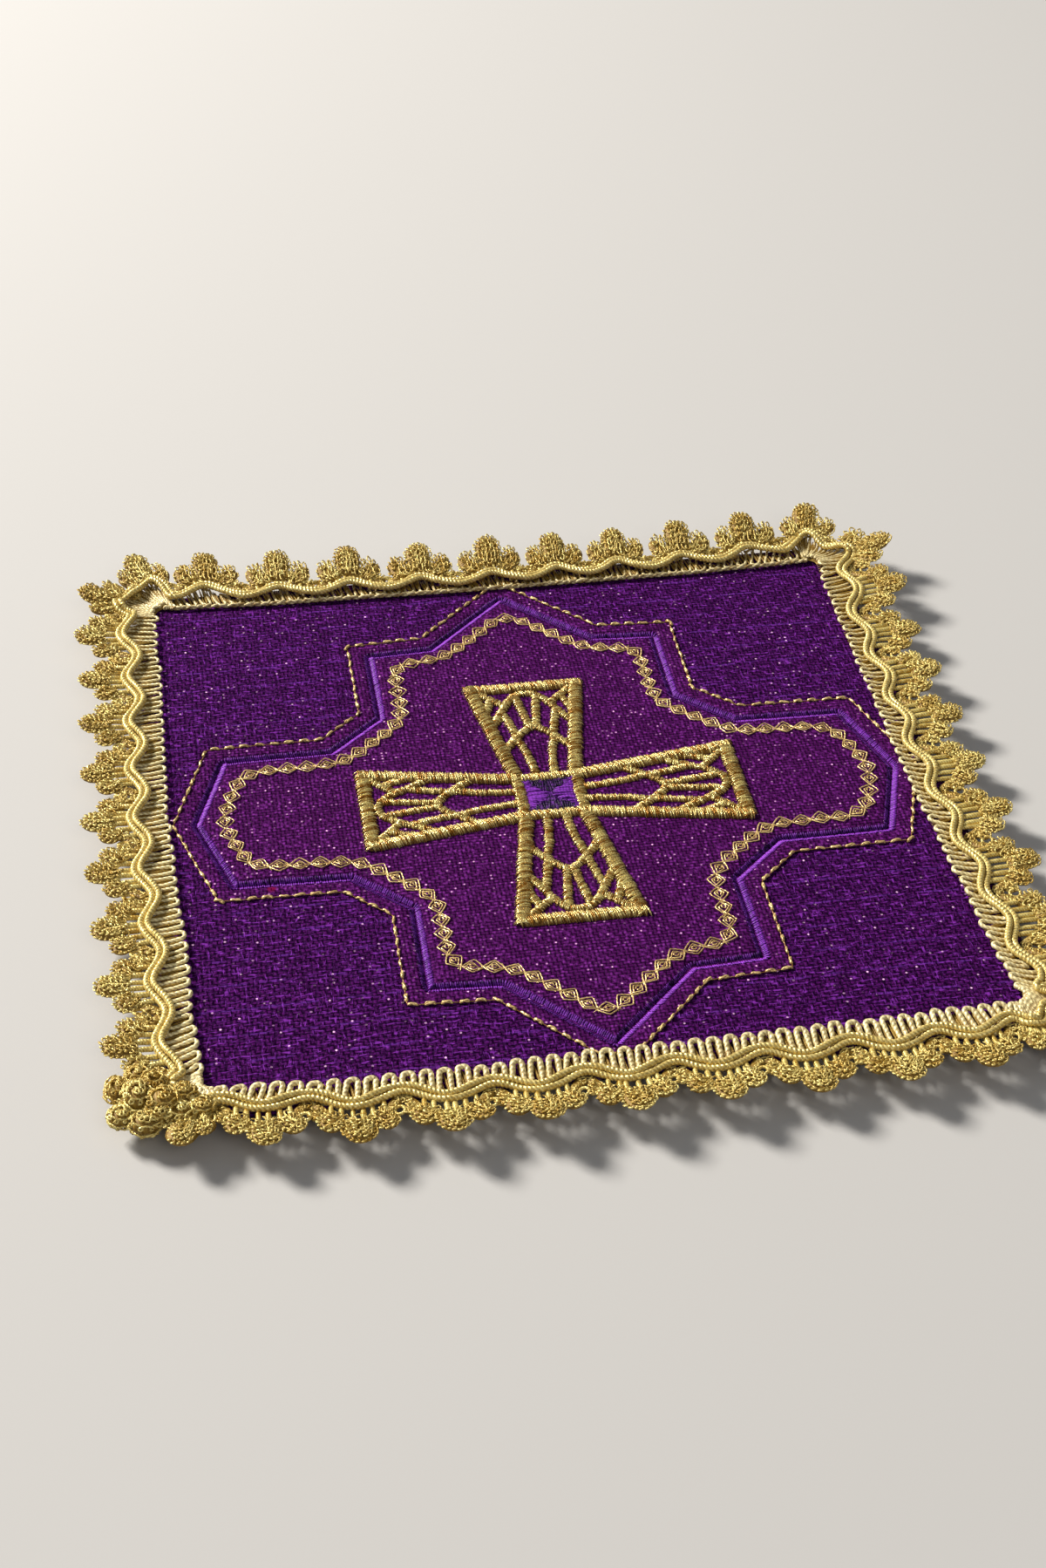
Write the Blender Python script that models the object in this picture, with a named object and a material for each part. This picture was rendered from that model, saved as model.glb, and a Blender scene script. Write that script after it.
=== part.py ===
"""Chalice pall: a stiff purple cloth square with an inlaid medallion, an
embroidered tracery cross and a scalloped gold lace sewn round its edge.

Metres, +Z up. The origin is the middle of the underside, +X points right and
+Y away from the front edge.
"""
import math

import bmesh
import bpy
from mathutils import Vector
from mathutils.geometry import delaunay_2d_cdt

MM = 0.001
GAP = 0.3                    # clearance between two pieces, mm

# The stiff square, mm
PANEL_HALF = 75.0
PANEL_THICK = 3.5
PANEL_ROUND = 0.9            # rounding of the long edges
PANEL_CORNER = 3.0           # radius of the four corners, seen from above

# The medallion, mm
DESIGN_DROP = 2.4            # the design sits this far in front of the middle
DESIGN_TURN = math.radians(-0.52)
MEDALLION_THICK = 1.0
MEDALLION_MARGIN = 4.2       # from the satin line out to the cut edge
MEDALLION_REACH = 71.5       # its gable points are cut off here, under the lace
GROOVE_LIP = 1.0             # half width of the satin line's channel, at the top
GROOVE_FLOOR = 0.25          # half width of its floor
GROOVE_DEEP = 0.6

# One quarter of the medallion's satin line: gabled arms up and down, with
# shoulders, and gabled arms left and right without them.
OUTLINE = (
    # right, away
    (0.0, 67.1),
    (16.5, 50.5),
    (29.4, 49.7),
    (29.3, 28.5),
    (39.7, 18.8),
    (60.6, 18.3),
    (66.5, 0.0),
)

# The embroidered cross, mm
CROSS_THICK = 0.7
CROSS_REACHES = (36.4, 36.1, 36.3, 37.3)   # back, left, front and right arm
CROSS_SHIFT = (-0.2, -0.5)   # from the middle of the medallion
CROSS_END_HALF = 12.1        # half width of an arm at its end
CROSS_ROOT = 7.05            # half width of an arm where it leaves the square
CROSS_FRAME = 2.9            # width of the frame bars
CROSS_BAR = 1.65             # width of the tracery bars
CENTRE_HALF = 4.0
CENTRE_THICK = 0.4
CENTRE_PEAK = 1.0

# Half of one arm's tracery. "along" runs from 0 at the arm's root to 1 at its
# end, and "across" from 0 on the middle line to 1 on the frame.
TRACERY = {
    # name: (along, across) of each point
    "leg": ((-0.02, 0.30), (0.20, 0.33), (0.34, 0.40), (0.44, 0.50)),
    "lower_arch": ((0.29, 0.97), (0.41, 0.57), (0.50, 0.25), (0.545, 0.0)),
    "inner_post": ((0.53, 0.07), (0.70, 0.14), (0.88, 0.18)),
    "outer_post": ((0.42, 0.45), (0.57, 0.50), (0.73, 0.57)),
    "upper_arch": ((0.56, 0.97), (0.71, 0.62), (0.83, 0.36), (0.885, 0.16), (0.895, 0.0)),
    "corner": ((0.96, 0.88), (0.86, 0.62), (0.79, 0.42)),
    "spur": ((0.90, 0.66), (0.81, 0.80), (0.71, 0.94)),
}

# The lace, mm. One scallop is its unit of length along the edge.
SCALLOP = 15.0
SIDE_SCALLOPS = 9            # whole scallops along each straight side
CORNER_SCALLOPS = 2          # and two eased round each corner
HEADER_EDGE = 70.5           # inner edge of the header's loops
HEADER_LOOPS = 5             # loops to a scallop
LOOP_DEPTH = 0.5
PANEL_TOP_CLEAR = PANEL_THICK + GAP
LACE_THICK = 1.1
LACE_BEND = 76.2             # where the lace leaves the panel's edge
LACE_CROWN = 0.5             # how far the middle of a scallop swells
CROWN_INSET = 1.3            # from the scalloped edge in to the crown
CORNER_EXTRA = -0.3          # the two corner scallops reach this much further

# The lobes of a scallop: place along the edge from its middle, distance of the
# lobe's round end from the panel's middle, and the lobe's radius.
LOBES = (
    # along, reach, radius
    (0.0, 87.4, 2.9),
    (-4.5, 84.2, 2.2),
    (4.5, 84.2, 2.2),
    (-6.7, 80.9, 1.1),
    (6.7, 80.9, 1.1),
)
VALLEY = 79.6

# How the lace lies, at stations round the edge counted in scallops from the
# middle of the front side. "tips" is how far its tips stand up, "header" and
# "rest" how far its two parts lie out of their even place, in mm, and "slide"
# how far the scallops have slid along the edge, in scallops.
SETTLING = (
    # station, tips, header, rest, slide
    (0.0, 1.4, 1.1, 0.7, 0.0),
    (3.0, 1.2, 0.6, 0.4, 0.0),
    (5.5, 1.2, -0.2, -1.2, 0.15),
    (8.0, 0.8, -1.6, -2.9, 0.38),
    (11.0, 0.6, -2.3, -3.7, 0.38),
    (14.0, 1.0, -1.4, -3.0, 0.38),
    (16.0, 2.3, -0.8, -0.2, 0.30),
    (17.0, 2.6, -1.8, -0.2, -0.22),
    (19.0, 2.8, -2.8, -5.2, -0.24),
    (22.0, 2.4, -1.8, -4.6, 0.0),
    (25.0, 1.8, -1.1, -3.6, 0.0),
    (27.0, 2.4, -0.4, 0.4, 0.0),
    (28.0, 2.0, 0.0, 0.2, 0.0),
    (30.0, 0.5, 0.3, -0.2, 0.0),
    (33.0, 0.4, 0.5, 0.2, 0.0),
    (36.0, 0.2, -0.9, -1.3, 0.0),
    (38.0, 0.4, -1.9, -2.8, 0.0),
    (39.5, 0.6, 0.4, -1.6, 0.0),
    (41.0, 0.9, 1.6, 0.2, 0.0),
    (42.5, 1.3, 1.7, 1.0, 0.0),
    (44.0, 1.4, 1.1, 0.7, 0.0),
)
HEADER_SPAN = 6.0            # from the header's edge out to where "rest" holds

# The doubled gimp cord that waves along the lace, mm
CORD_MEAN = 76.6             # middle of its wave, from the panel's middle
CORD_WAVE = 1.35
STRAND = 1.2                 # width of one of its two strands
CORD_TALL = 1.3
CORD_STEPS = 7               # sections to a scallop

TOTAL = 4 * (SIDE_SCALLOPS + CORNER_SCALLOPS)
STRAIGHT = SIDE_SCALLOPS / 2.0
CORNER_AT = STRAIGHT * SCALLOP


def clear_scene():
    """Remove every object that the file starts with."""
    for item in list(bpy.data.objects):
        bpy.data.objects.remove(item, do_unlink=True)


def material(name, colour, roughness, metallic=0.0):
    """One plain finish."""
    made = bpy.data.materials.new(name)
    made.use_nodes = True
    shader = made.node_tree.nodes["Principled BSDF"]
    shader.inputs["Base Color"].default_value = (*colour, 1.0)
    shader.inputs["Roughness"].default_value = roughness
    shader.inputs["Metallic"].default_value = metallic
    return made


def solid(name, points, faces, finish):
    """An object from points in millimetres, with its faces turned outwards."""
    mesh = bpy.data.meshes.new(name)
    bm = bmesh.new()
    corners = [bm.verts.new([value * MM for value in point]) for point in points]
    for face in faces:
        bm.faces.new([corners[index] for index in face])
    bmesh.ops.recalc_face_normals(bm, faces=bm.faces)
    bm.to_mesh(mesh)
    bm.free()
    mesh.materials.append(finish)
    item = bpy.data.objects.new(name, mesh)
    bpy.context.scene.collection.objects.link(item)
    return item


def stacked(rings):
    """Points and faces of a closed body: equal rings from the bottom up, with
    a flat face on the first and on the last."""
    size = len(rings[0])
    points = [point for ring in rings for point in ring]
    faces = [tuple(reversed(range(size)))]
    for level in range(len(rings) - 1):
        low = level * size
        high = low + size
        for index in range(size):
            after = (index + 1) % size
            faces.append((low + index, low + after, high + after, high + index))
    top = (len(rings) - 1) * size
    faces.append(tuple(range(top, top + size)))
    return points, faces


def offset(outline, distance):
    """The outline moved outwards by distance, with sharp corners."""
    moved = []
    for index, here in enumerate(outline):
        before = Vector(outline[index - 1])
        after = Vector(outline[(index + 1) % len(outline)])
        here = Vector(here)
        first = (here - before).normalized()
        second = (after - here).normalized()
        out_first = Vector((first.y, -first.x))
        out_second = Vector((second.y, -second.x))
        bisector = (out_first + out_second).normalized()
        moved.append(here + bisector * (distance / bisector.dot(out_first)))
    return moved


def satin_line():
    """The medallion's whole outline, anticlockwise from its near gable point."""
    quarter = list(OUTLINE)
    right_front = [(x, -y) for x, y in quarter]
    right_back = quarter[::-1]
    left_back = [(-x, y) for x, y in quarter]
    left_front = [(-x, -y) for x, y in quarter[::-1]]
    return [*right_front[:-1], *right_back[:-1], *left_back[:-1], *left_front[:-1]]


def placed(outline):
    """The outline turned and moved to where the design lies on the panel."""
    cosine = math.cos(DESIGN_TURN)
    sine = math.sin(DESIGN_TURN)
    return [(x * cosine - y * sine, x * sine + y * cosine - DESIGN_DROP) for x, y in outline]


def on_cross(outline):
    """An outline drawn about the middle of the cross, where it lies on the panel."""
    return placed([(x + CROSS_SHIFT[0], y + CROSS_SHIFT[1]) for x, y in outline])


def level_ring(distance, height):
    """The satin line offset by distance, laid at a height."""
    return [(x, y, height) for x, y in placed(offset(satin_line(), distance))]


def trim_points(item, reach):
    """Cut the two gable points off at reach, in front and behind."""
    bm = bmesh.new()
    bm.from_mesh(item.data)
    for side in (-1.0, 1.0):
        everything = list(bm.verts) + list(bm.edges) + list(bm.faces)
        bmesh.ops.bisect_plane(
            bm,
            geom=everything,
            plane_co=(0.0, side * reach * MM, 0.0),
            plane_no=(0.0, side, 0.0),
            clear_outer=True,
        )
        rim = [edge for edge in bm.edges if edge.is_boundary]
        bmesh.ops.holes_fill(bm, edges=rim)
    bmesh.ops.recalc_face_normals(bm, faces=bm.faces)
    bm.to_mesh(item.data)
    bm.free()


def rounded_square(half, radius, height, steps=4):
    """A square ring with round corners, anticlockwise, at a height."""
    ring = []
    for corner in range(4):
        for step in range(steps + 1):
            angle = math.radians(90.0 * (corner + step / steps))
            middle = math.radians(45.0 + 90.0 * corner)
            reach = (half - radius) * math.sqrt(2.0)
            ring.append((
                reach * math.cos(middle) + radius * math.cos(angle),
                reach * math.sin(middle) + radius * math.sin(angle),
                height,
            ))
    return ring


def make_panel(finish):
    """The stiff square with rounded edges and a shallow seat for the medallion."""
    rings = []
    for inset, height in (
        (PANEL_ROUND, 0.0),
        (PANEL_ROUND * 0.29, PANEL_ROUND * 0.29),
        (0.0, PANEL_ROUND),
        (0.0, PANEL_THICK - PANEL_ROUND),
        (PANEL_ROUND * 0.29, PANEL_THICK - PANEL_ROUND * 0.29),
        (PANEL_ROUND, PANEL_THICK),
    ):
        rings.append(rounded_square(PANEL_HALF - inset, PANEL_CORNER - inset, height))
    panel = solid("panel", *stacked(rings), finish)
    seat = PANEL_THICK - MEDALLION_THICK - GAP
    over = PANEL_THICK + 1.0
    reach = MEDALLION_MARGIN + GAP
    cutter = solid("seat_cutter", *stacked([level_ring(reach, seat), level_ring(reach, over)]), finish)
    trim_points(cutter, MEDALLION_REACH + GAP)
    cutter.hide_render = True
    cutter.display_type = "WIRE"
    cut = panel.modifiers.new("seat", "BOOLEAN")
    cut.operation = "DIFFERENCE"
    cut.solver = "EXACT"
    cut.object = cutter
    return panel


def make_medallion(finish):
    """The inlaid cloth, flush with the panel, with a channel along its satin line."""
    top = PANEL_THICK
    bottom = top - MEDALLION_THICK
    rings = [
        level_ring(MEDALLION_MARGIN, bottom),
        level_ring(MEDALLION_MARGIN, top - GAP),
        level_ring(MEDALLION_MARGIN - GAP, top),
        level_ring(GROOVE_LIP, top),
        level_ring(GROOVE_FLOOR, top - GROOVE_DEEP),
        level_ring(-GROOVE_FLOOR, top - GROOVE_DEEP),
        level_ring(-GROOVE_LIP, top),
    ]
    medallion = solid("medallion", *stacked(rings), finish)
    trim_points(medallion, MEDALLION_REACH)
    return medallion


def bar_outline(path, width):
    """A flat bar of one width along a path of points, as an anticlockwise polygon."""
    left = []
    right = []
    for index, here in enumerate(path):
        before = Vector(path[max(index - 1, 0)])
        after = Vector(path[min(index + 1, len(path) - 1)])
        side = (after - before).normalized().orthogonal() * (width / 2.0)
        left.append(Vector(here) + side)
        right.append(Vector(here) - side)
    return right + left[::-1]


def arm_point(along, across, arm_reach):
    """A place on the arm that points away, from its two shares."""
    reach = arm_reach - CROSS_FRAME / 2.0
    root = CROSS_ROOT - CROSS_FRAME / 2.0
    end_half = CROSS_END_HALF - CROSS_FRAME / 2.0
    half = root + (end_half - root) * along
    return (across * half, root + (reach - root) * along)


def arm_bars(arm_reach):
    """Frame and tracery bars of the arm that points away: (path, width) pairs."""
    def path(rows):
        return [arm_point(along, across, arm_reach) for along, across in rows]

    bars = [(path([(1.0, -1.0), (1.0, 1.0)]), CROSS_FRAME)]
    bars.append((path([(0.0, -1.0), (0.0, 1.0)]), CROSS_FRAME * 0.85))
    for side in (-1.0, 1.0):
        bars.append((path([(-0.03, side), (1.03, side)]), CROSS_FRAME))
        for rows in TRACERY.values():
            bars.append((path([(along, across * side) for along, across in rows]), CROSS_BAR))
    return bars


def quarter_turn(point, turns):
    """A point turned about the middle by whole quarter turns."""
    x, y = point
    for _ in range(turns):
        x, y = -y, x
    return (x, y)


def make_cross(finish):
    """All the bars of the cross merged in the plane and given their thickness."""
    points = []
    loops = []
    for turns in range(4):
        for path, width in arm_bars(CROSS_REACHES[turns]):
            shape = bar_outline([quarter_turn(point, turns) for point in path], width)
            start = len(points)
            points.extend(Vector(point) for point in on_cross(shape))
            loops.append(list(range(start, len(points))))
    merged = delaunay_2d_cdt(points, [], loops, 0, 0.02)
    flat, triangles, sources = merged[0], merged[2], merged[5]
    kept = [face for face, source in zip(triangles, sources) if source]
    count = len(flat)
    low = PANEL_THICK + GAP
    levels = [(x, y, low) for x, y in flat] + [(x, y, low + CROSS_THICK) for x, y in flat]
    faces = [tuple(reversed(face)) for face in kept]
    faces += [tuple(index + count for index in face) for face in kept]
    edges = {(a, b) for face in kept for a, b in zip(face, face[1:] + face[:1])}
    for a, b in edges:
        if (b, a) not in edges:
            faces.append((a, b, b + count, a + count))
    cross = solid("cross_embroidery", levels, faces, finish)
    bm = bmesh.new()
    bm.from_mesh(cross.data)
    bmesh.ops.delete(bm, geom=[vert for vert in bm.verts if not vert.link_faces], context="VERTS")
    bm.to_mesh(cross.data)
    bm.free()
    return cross


def make_centre(finish):
    """The purple square in the middle of the cross: a low pyramid of satin stitch."""
    base = on_cross([quarter_turn((CENTRE_HALF, CENTRE_HALF), turns) for turns in range(4)])
    low = PANEL_THICK + GAP
    points = [(x, y, low) for x, y in base]
    points += [(x, y, low + CENTRE_THICK) for x, y in base]
    points.append((*on_cross([(0.0, 0.0)])[0], low + CENTRE_PEAK))
    faces = [(3, 2, 1, 0)]
    for index in range(4):
        after = (index + 1) % 4
        faces.append((index, after, after + 4, index + 4))
        faces.append((index + 4, after + 4, 8))
    return solid("cross_centre", points, faces, finish)


def settled(station):
    """Tips, header, rest and slide at a station, read smoothly from the table."""
    place = station % TOTAL
    for low, high in zip(SETTLING, SETTLING[1:]):
        if place <= high[0]:
            break
    share = (place - low[0]) / (high[0] - low[0])
    share = share * share * (3.0 - 2.0 * share)
    return [first + (last - first) * share for first, last in zip(low[1:], high[1:])]


def lay(station, reach):
    """Where a point of the lace lies: station counts scallops anticlockwise from
    the middle of the front side, and reach is the distance out from the middle
    of the panel, taken round a quarter circle at each corner."""
    header, rest, slide = settled(station)[1:]
    outer = min(1.0, max(0.0, (reach - HEADER_EDGE) / HEADER_SPAN))
    reach += header + (rest - header) * outer
    side_length = TOTAL / 4
    side = math.floor((station - slide) / side_length + 0.5)
    local = station - slide - side * side_length
    past = abs(local) - STRAIGHT
    if past <= 0.0:
        x, y = local * SCALLOP, -reach
    else:
        angle = math.radians(90.0) * past / CORNER_SCALLOPS
        radius = reach - CORNER_AT
        x = math.copysign(CORNER_AT + radius * math.sin(angle), local)
        y = -(CORNER_AT + radius * math.cos(angle))
    return quarter_turn((x, y), side % 4)


def near_corner(station):
    """1 on the two scallops of a corner, 0 along the straight sides."""
    side_length = TOTAL / 4
    local = abs(station - math.floor(station / side_length + 0.5) * side_length)
    return min(1.0, max(0.0, (local - STRAIGHT) * 4.0))


def lift(station):
    """How far the tips stand up at a station, with two small waves on the table."""
    return settled(station)[0] + 0.35 * math.sin(2.1 * station) + 0.2 * math.sin(5.3 * station)


def lace_height(station, reach):
    """Height of the lace's underside: flat on the panel, then bending away."""
    past = max(0.0, reach - LACE_BEND) / (LOBES[0][1] - LACE_BEND)
    return PANEL_TOP_CLEAR + lift(station) * past ** 1.4


def scallop_reach(station):
    """The scalloped edge: the furthest of the round lobes, or the valley."""
    along = (station - round(station)) * SCALLOP
    best = VALLEY
    for middle, reach, radius in LOBES:
        inside = radius * radius - (along - middle) ** 2
        if inside > 0.0:
            best = max(best, reach - radius + math.sqrt(inside))
    return best + CORNER_EXTRA * near_corner(station)


def header_reach(station):
    """The inner edge, drawn in between the header's loops."""
    wave = math.cos(2.0 * math.pi * HEADER_LOOPS * station)
    return HEADER_EDGE + LOOP_DEPTH * (0.5 - 0.5 * wave)


def lace_ring(per_scallop, reach_at, height_at):
    """One closed ring of points round the lace, with its stations."""
    stations = [index / per_scallop - 0.5 for index in range(TOTAL * per_scallop)]
    ring = []
    for station in stations:
        reach = reach_at(station)
        ring.append((*lay(station, reach), height_at(station, reach)))
    return stations, ring


def stitch(first, second, first_start, second_start):
    """Triangles between two closed rings with different numbers of points,
    walking round both by station."""
    faces = []
    a = b = 0
    first_stations, second_stations = first[0], second[0]
    first_count, second_count = len(first_stations), len(second_stations)
    while a < first_count or b < second_count:
        next_a = first_stations[a + 1] if a + 1 < first_count else TOTAL - 0.5
        next_b = second_stations[b + 1] if b + 1 < second_count else TOTAL - 0.5
        here_a = first_start + a % first_count
        here_b = second_start + b % second_count
        if b >= second_count or (a < first_count and next_a <= next_b):
            faces.append((here_a, first_start + (a + 1) % first_count, here_b))
            a += 1
        else:
            faces.append((here_a, second_start + (b + 1) % second_count, here_b))
            b += 1
    return faces


def make_lace(finish):
    """The lace as one closed ring: a looped header on the panel, a body that
    bends off its edge, and lobed scallops that swell in the middle."""
    loops = 2 * HEADER_LOOPS
    coarse = 5
    fine = 16

    def top(station, reach):
        return lace_height(station, reach) + LACE_THICK

    def crown(station, reach):
        return top(station, reach) + LACE_CROWN

    def lip(station, reach):
        return lace_height(station, reach) + LACE_THICK * 0.45

    def inside_edge(station):
        return scallop_reach(station) - CROWN_INSET

    def bend(station):
        return LACE_BEND

    rings = [
        lace_ring(loops, header_reach, top),
        lace_ring(coarse, bend, top),
        lace_ring(fine, inside_edge, crown),
        lace_ring(fine, scallop_reach, lip),
        lace_ring(coarse, bend, lace_height),
        lace_ring(loops, header_reach, lace_height),
    ]
    points = []
    starts = []
    for _, ring in rings:
        starts.append(len(points))
        points.extend(ring)
    faces = []
    for index in range(len(rings)):
        after = (index + 1) % len(rings)
        faces += stitch(rings[index], rings[after], starts[index], starts[after])
    return solid("lace", points, faces, finish)


def cord_middle(station):
    """The cord's wave: out at the middle of each scallop, in at each valley, and
    less far in round the corners."""
    wave = math.cos(2.0 * math.pi * station)
    return CORD_MEAN + CORD_WAVE * wave + near_corner(station) * (0.3 + 0.55 * (1.0 - wave))


def lace_swell(station, reach):
    """How far the lace's top has swollen towards its crown at a reach."""
    span = scallop_reach(station) - CROWN_INSET - LACE_BEND
    share = min(1.0, max(0.0, (reach - LACE_BEND) / span))
    return LACE_CROWN * share


def make_cord(finish):
    """The doubled gimp: a two-ridged section carried round the lace."""
    # Distance out from the cord's middle and height above its underside
    section = (
        (-STRAND, 0.35),
        (-STRAND * 0.5, CORD_TALL),
        (0.0, CORD_TALL * 0.6),
        (STRAND * 0.5, CORD_TALL),
        (STRAND, 0.35),
        (0.0, 0.0),
    )
    count = TOTAL * CORD_STEPS
    size = len(section)
    points = []
    for index in range(count):
        station = index / CORD_STEPS
        for out, tall in section:
            reach = cord_middle(station) + out
            base = lace_height(station, reach) + LACE_THICK + GAP
            points.append((*lay(station, reach), base + lace_swell(station, reach) + tall))
    faces = []
    for index in range(count):
        here = index * size
        there = ((index + 1) % count) * size
        for side in range(size):
            after = (side + 1) % size
            faces.append((here + side, here + after, there + after, there + side))
    return solid("gimp_cord", points, faces, finish)


def main():
    clear_scene()
    purple = material("purple_cloth", (0.072, 0.008, 0.170), 0.75)
    plum = material("plum_cloth", (0.090, 0.008, 0.110), 0.75)
    violet = material("violet_satin", (0.060, 0.010, 0.200), 0.40)
    gold = material("gold_thread", (0.560, 0.380, 0.080), 0.45, 0.6)
    lace_gold = material("lace_yarn", (0.600, 0.440, 0.110), 0.55, 0.4)
    cord_gold = material("gimp_yarn", (0.680, 0.520, 0.140), 0.45, 0.5)
    make_panel(purple)
    make_medallion(plum)
    make_cross(gold)
    make_centre(violet)
    make_lace(lace_gold)
    make_cord(cord_gold)


main()
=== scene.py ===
# %% [markdown]
# # A chalice pall: cloth, satin stitch and a crocheted edge
# The object is a stiff square that lies flat on a cup. Everything that makes it look like
# what it is happens within a few millimetres: threads, loops and a wrapped cord. So almost
# every piece below is a family of thin tubes, worked out with numpy as whole arrays.
# The packed model gives the frame, and each piece takes its place from it.

# %% Load the packed frame and keep its box
import math

import bmesh
import bpy
import numpy as np
from mathutils import Matrix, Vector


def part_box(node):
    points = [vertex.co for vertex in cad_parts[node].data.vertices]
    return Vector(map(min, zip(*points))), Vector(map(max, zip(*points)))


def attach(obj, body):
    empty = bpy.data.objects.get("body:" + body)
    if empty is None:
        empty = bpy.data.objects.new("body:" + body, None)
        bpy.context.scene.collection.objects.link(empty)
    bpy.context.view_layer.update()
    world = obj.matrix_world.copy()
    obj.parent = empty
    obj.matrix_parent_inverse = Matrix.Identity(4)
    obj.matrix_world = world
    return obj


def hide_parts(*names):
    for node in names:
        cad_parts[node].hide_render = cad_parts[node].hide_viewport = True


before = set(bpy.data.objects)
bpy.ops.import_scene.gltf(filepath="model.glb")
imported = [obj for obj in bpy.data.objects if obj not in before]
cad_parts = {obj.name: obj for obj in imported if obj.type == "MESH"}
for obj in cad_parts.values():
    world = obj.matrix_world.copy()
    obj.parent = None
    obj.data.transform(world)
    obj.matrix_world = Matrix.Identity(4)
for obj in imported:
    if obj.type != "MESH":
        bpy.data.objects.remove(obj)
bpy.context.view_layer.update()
MM = 0.001
rng = np.random.default_rng(17)


def box_mm(node):
    """Lowest and highest corner of a node, in millimetres."""
    low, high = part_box(node)
    return np.array(low) / MM, np.array(high) / MM


panel_low, panel_high = box_mm("panel")
PANEL_HALF = panel_high[0]
CLOTH_TOP = panel_high[2]
LACE_REACH = box_mm("lace")[1][0]
print("panel half", round(PANEL_HALF, 2), "top", round(CLOTH_TOP, 2), "lace reach", round(LACE_REACH, 2))

# %% [markdown]
# ## From arrays to a mesh
# Thousands of threads can't be separate objects. Each family becomes one mesh: the arrays of
# points and faces of its threads are joined and handed over in one go with foreach_set.
# A point attribute called tone holds a number for each thread, mostly a random one, so that one
# material can make neighbouring threads slightly different; on the satin line, the header and
# the cross's middle it is painted light and shade.

# %% From arrays to a mesh
def unit(vectors):
    """Each vector divided by its length."""
    return vectors / np.maximum(np.linalg.norm(vectors, axis=-1, keepdims=True), 1e-9)


def make_piece(name, parts, finish, node=None):
    """One object from several parts. A part is (points in mm, face arrays, uv arrays, tones);
    face numbers of later parts are shifted by the number of points before them."""
    points = np.concatenate([part[0] for part in parts])
    shifts = np.cumsum([0] + [len(part[0]) for part in parts[:-1]])
    faces = [array + shift for part, shift in zip(parts, shifts) for array in part[1]]
    uvs = [array for part in parts for array in part[2]]
    tones = np.concatenate([part[3] for part in parts])
    corners = np.concatenate([array.ravel() for array in faces])
    sizes = np.concatenate([np.full(len(array), array.shape[1]) for array in faces])
    mesh = bpy.data.meshes.new(name)
    mesh.vertices.add(len(points))
    mesh.vertices.foreach_set("co", (points * MM).astype(np.float32).ravel())
    mesh.loops.add(len(corners))
    mesh.loops.foreach_set("vertex_index", corners.astype(np.int32))
    mesh.polygons.add(len(sizes))
    mesh.polygons.foreach_set("loop_start", (np.cumsum(sizes) - sizes).astype(np.int32))
    mesh.polygons.foreach_set("use_smooth", np.full(len(sizes), True))
    mesh.update(calc_edges=True)
    flat_uvs = np.concatenate([array.reshape(-1, 2) for array in uvs])
    mesh.uv_layers.new(name="UVMap").data.foreach_set("uv", flat_uvs.astype(np.float32).ravel())
    mesh.attributes.new("tone", "FLOAT", "POINT").data.foreach_set("value", tones.astype(np.float32))
    mesh.validate()
    mesh.materials.append(finish)
    piece = bpy.data.objects.new(name, mesh)
    bpy.context.scene.collection.objects.link(piece)
    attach(piece, "root")
    if node:
        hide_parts(node)
    print(name, "triangles", int((sizes - 2).sum()))
    return piece


print("a vector of length 5 as a unit vector", unit(np.array([3.0, 4.0, 0.0])).tolist())

# %% [markdown]
# ## Threads
# A thread is a tube: rings of points round a path. A curve object with a bevel could make one,
# but thousands of curves are slow to turn into meshes. Here all the threads of a family are
# one array, and a thread of 4 to 7 sides is round enough at less than a millimetre.

# %% Threads as tubes
END_TAPER = 0.45             # radius of an open thread's end rings, as a share of the thread's


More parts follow.
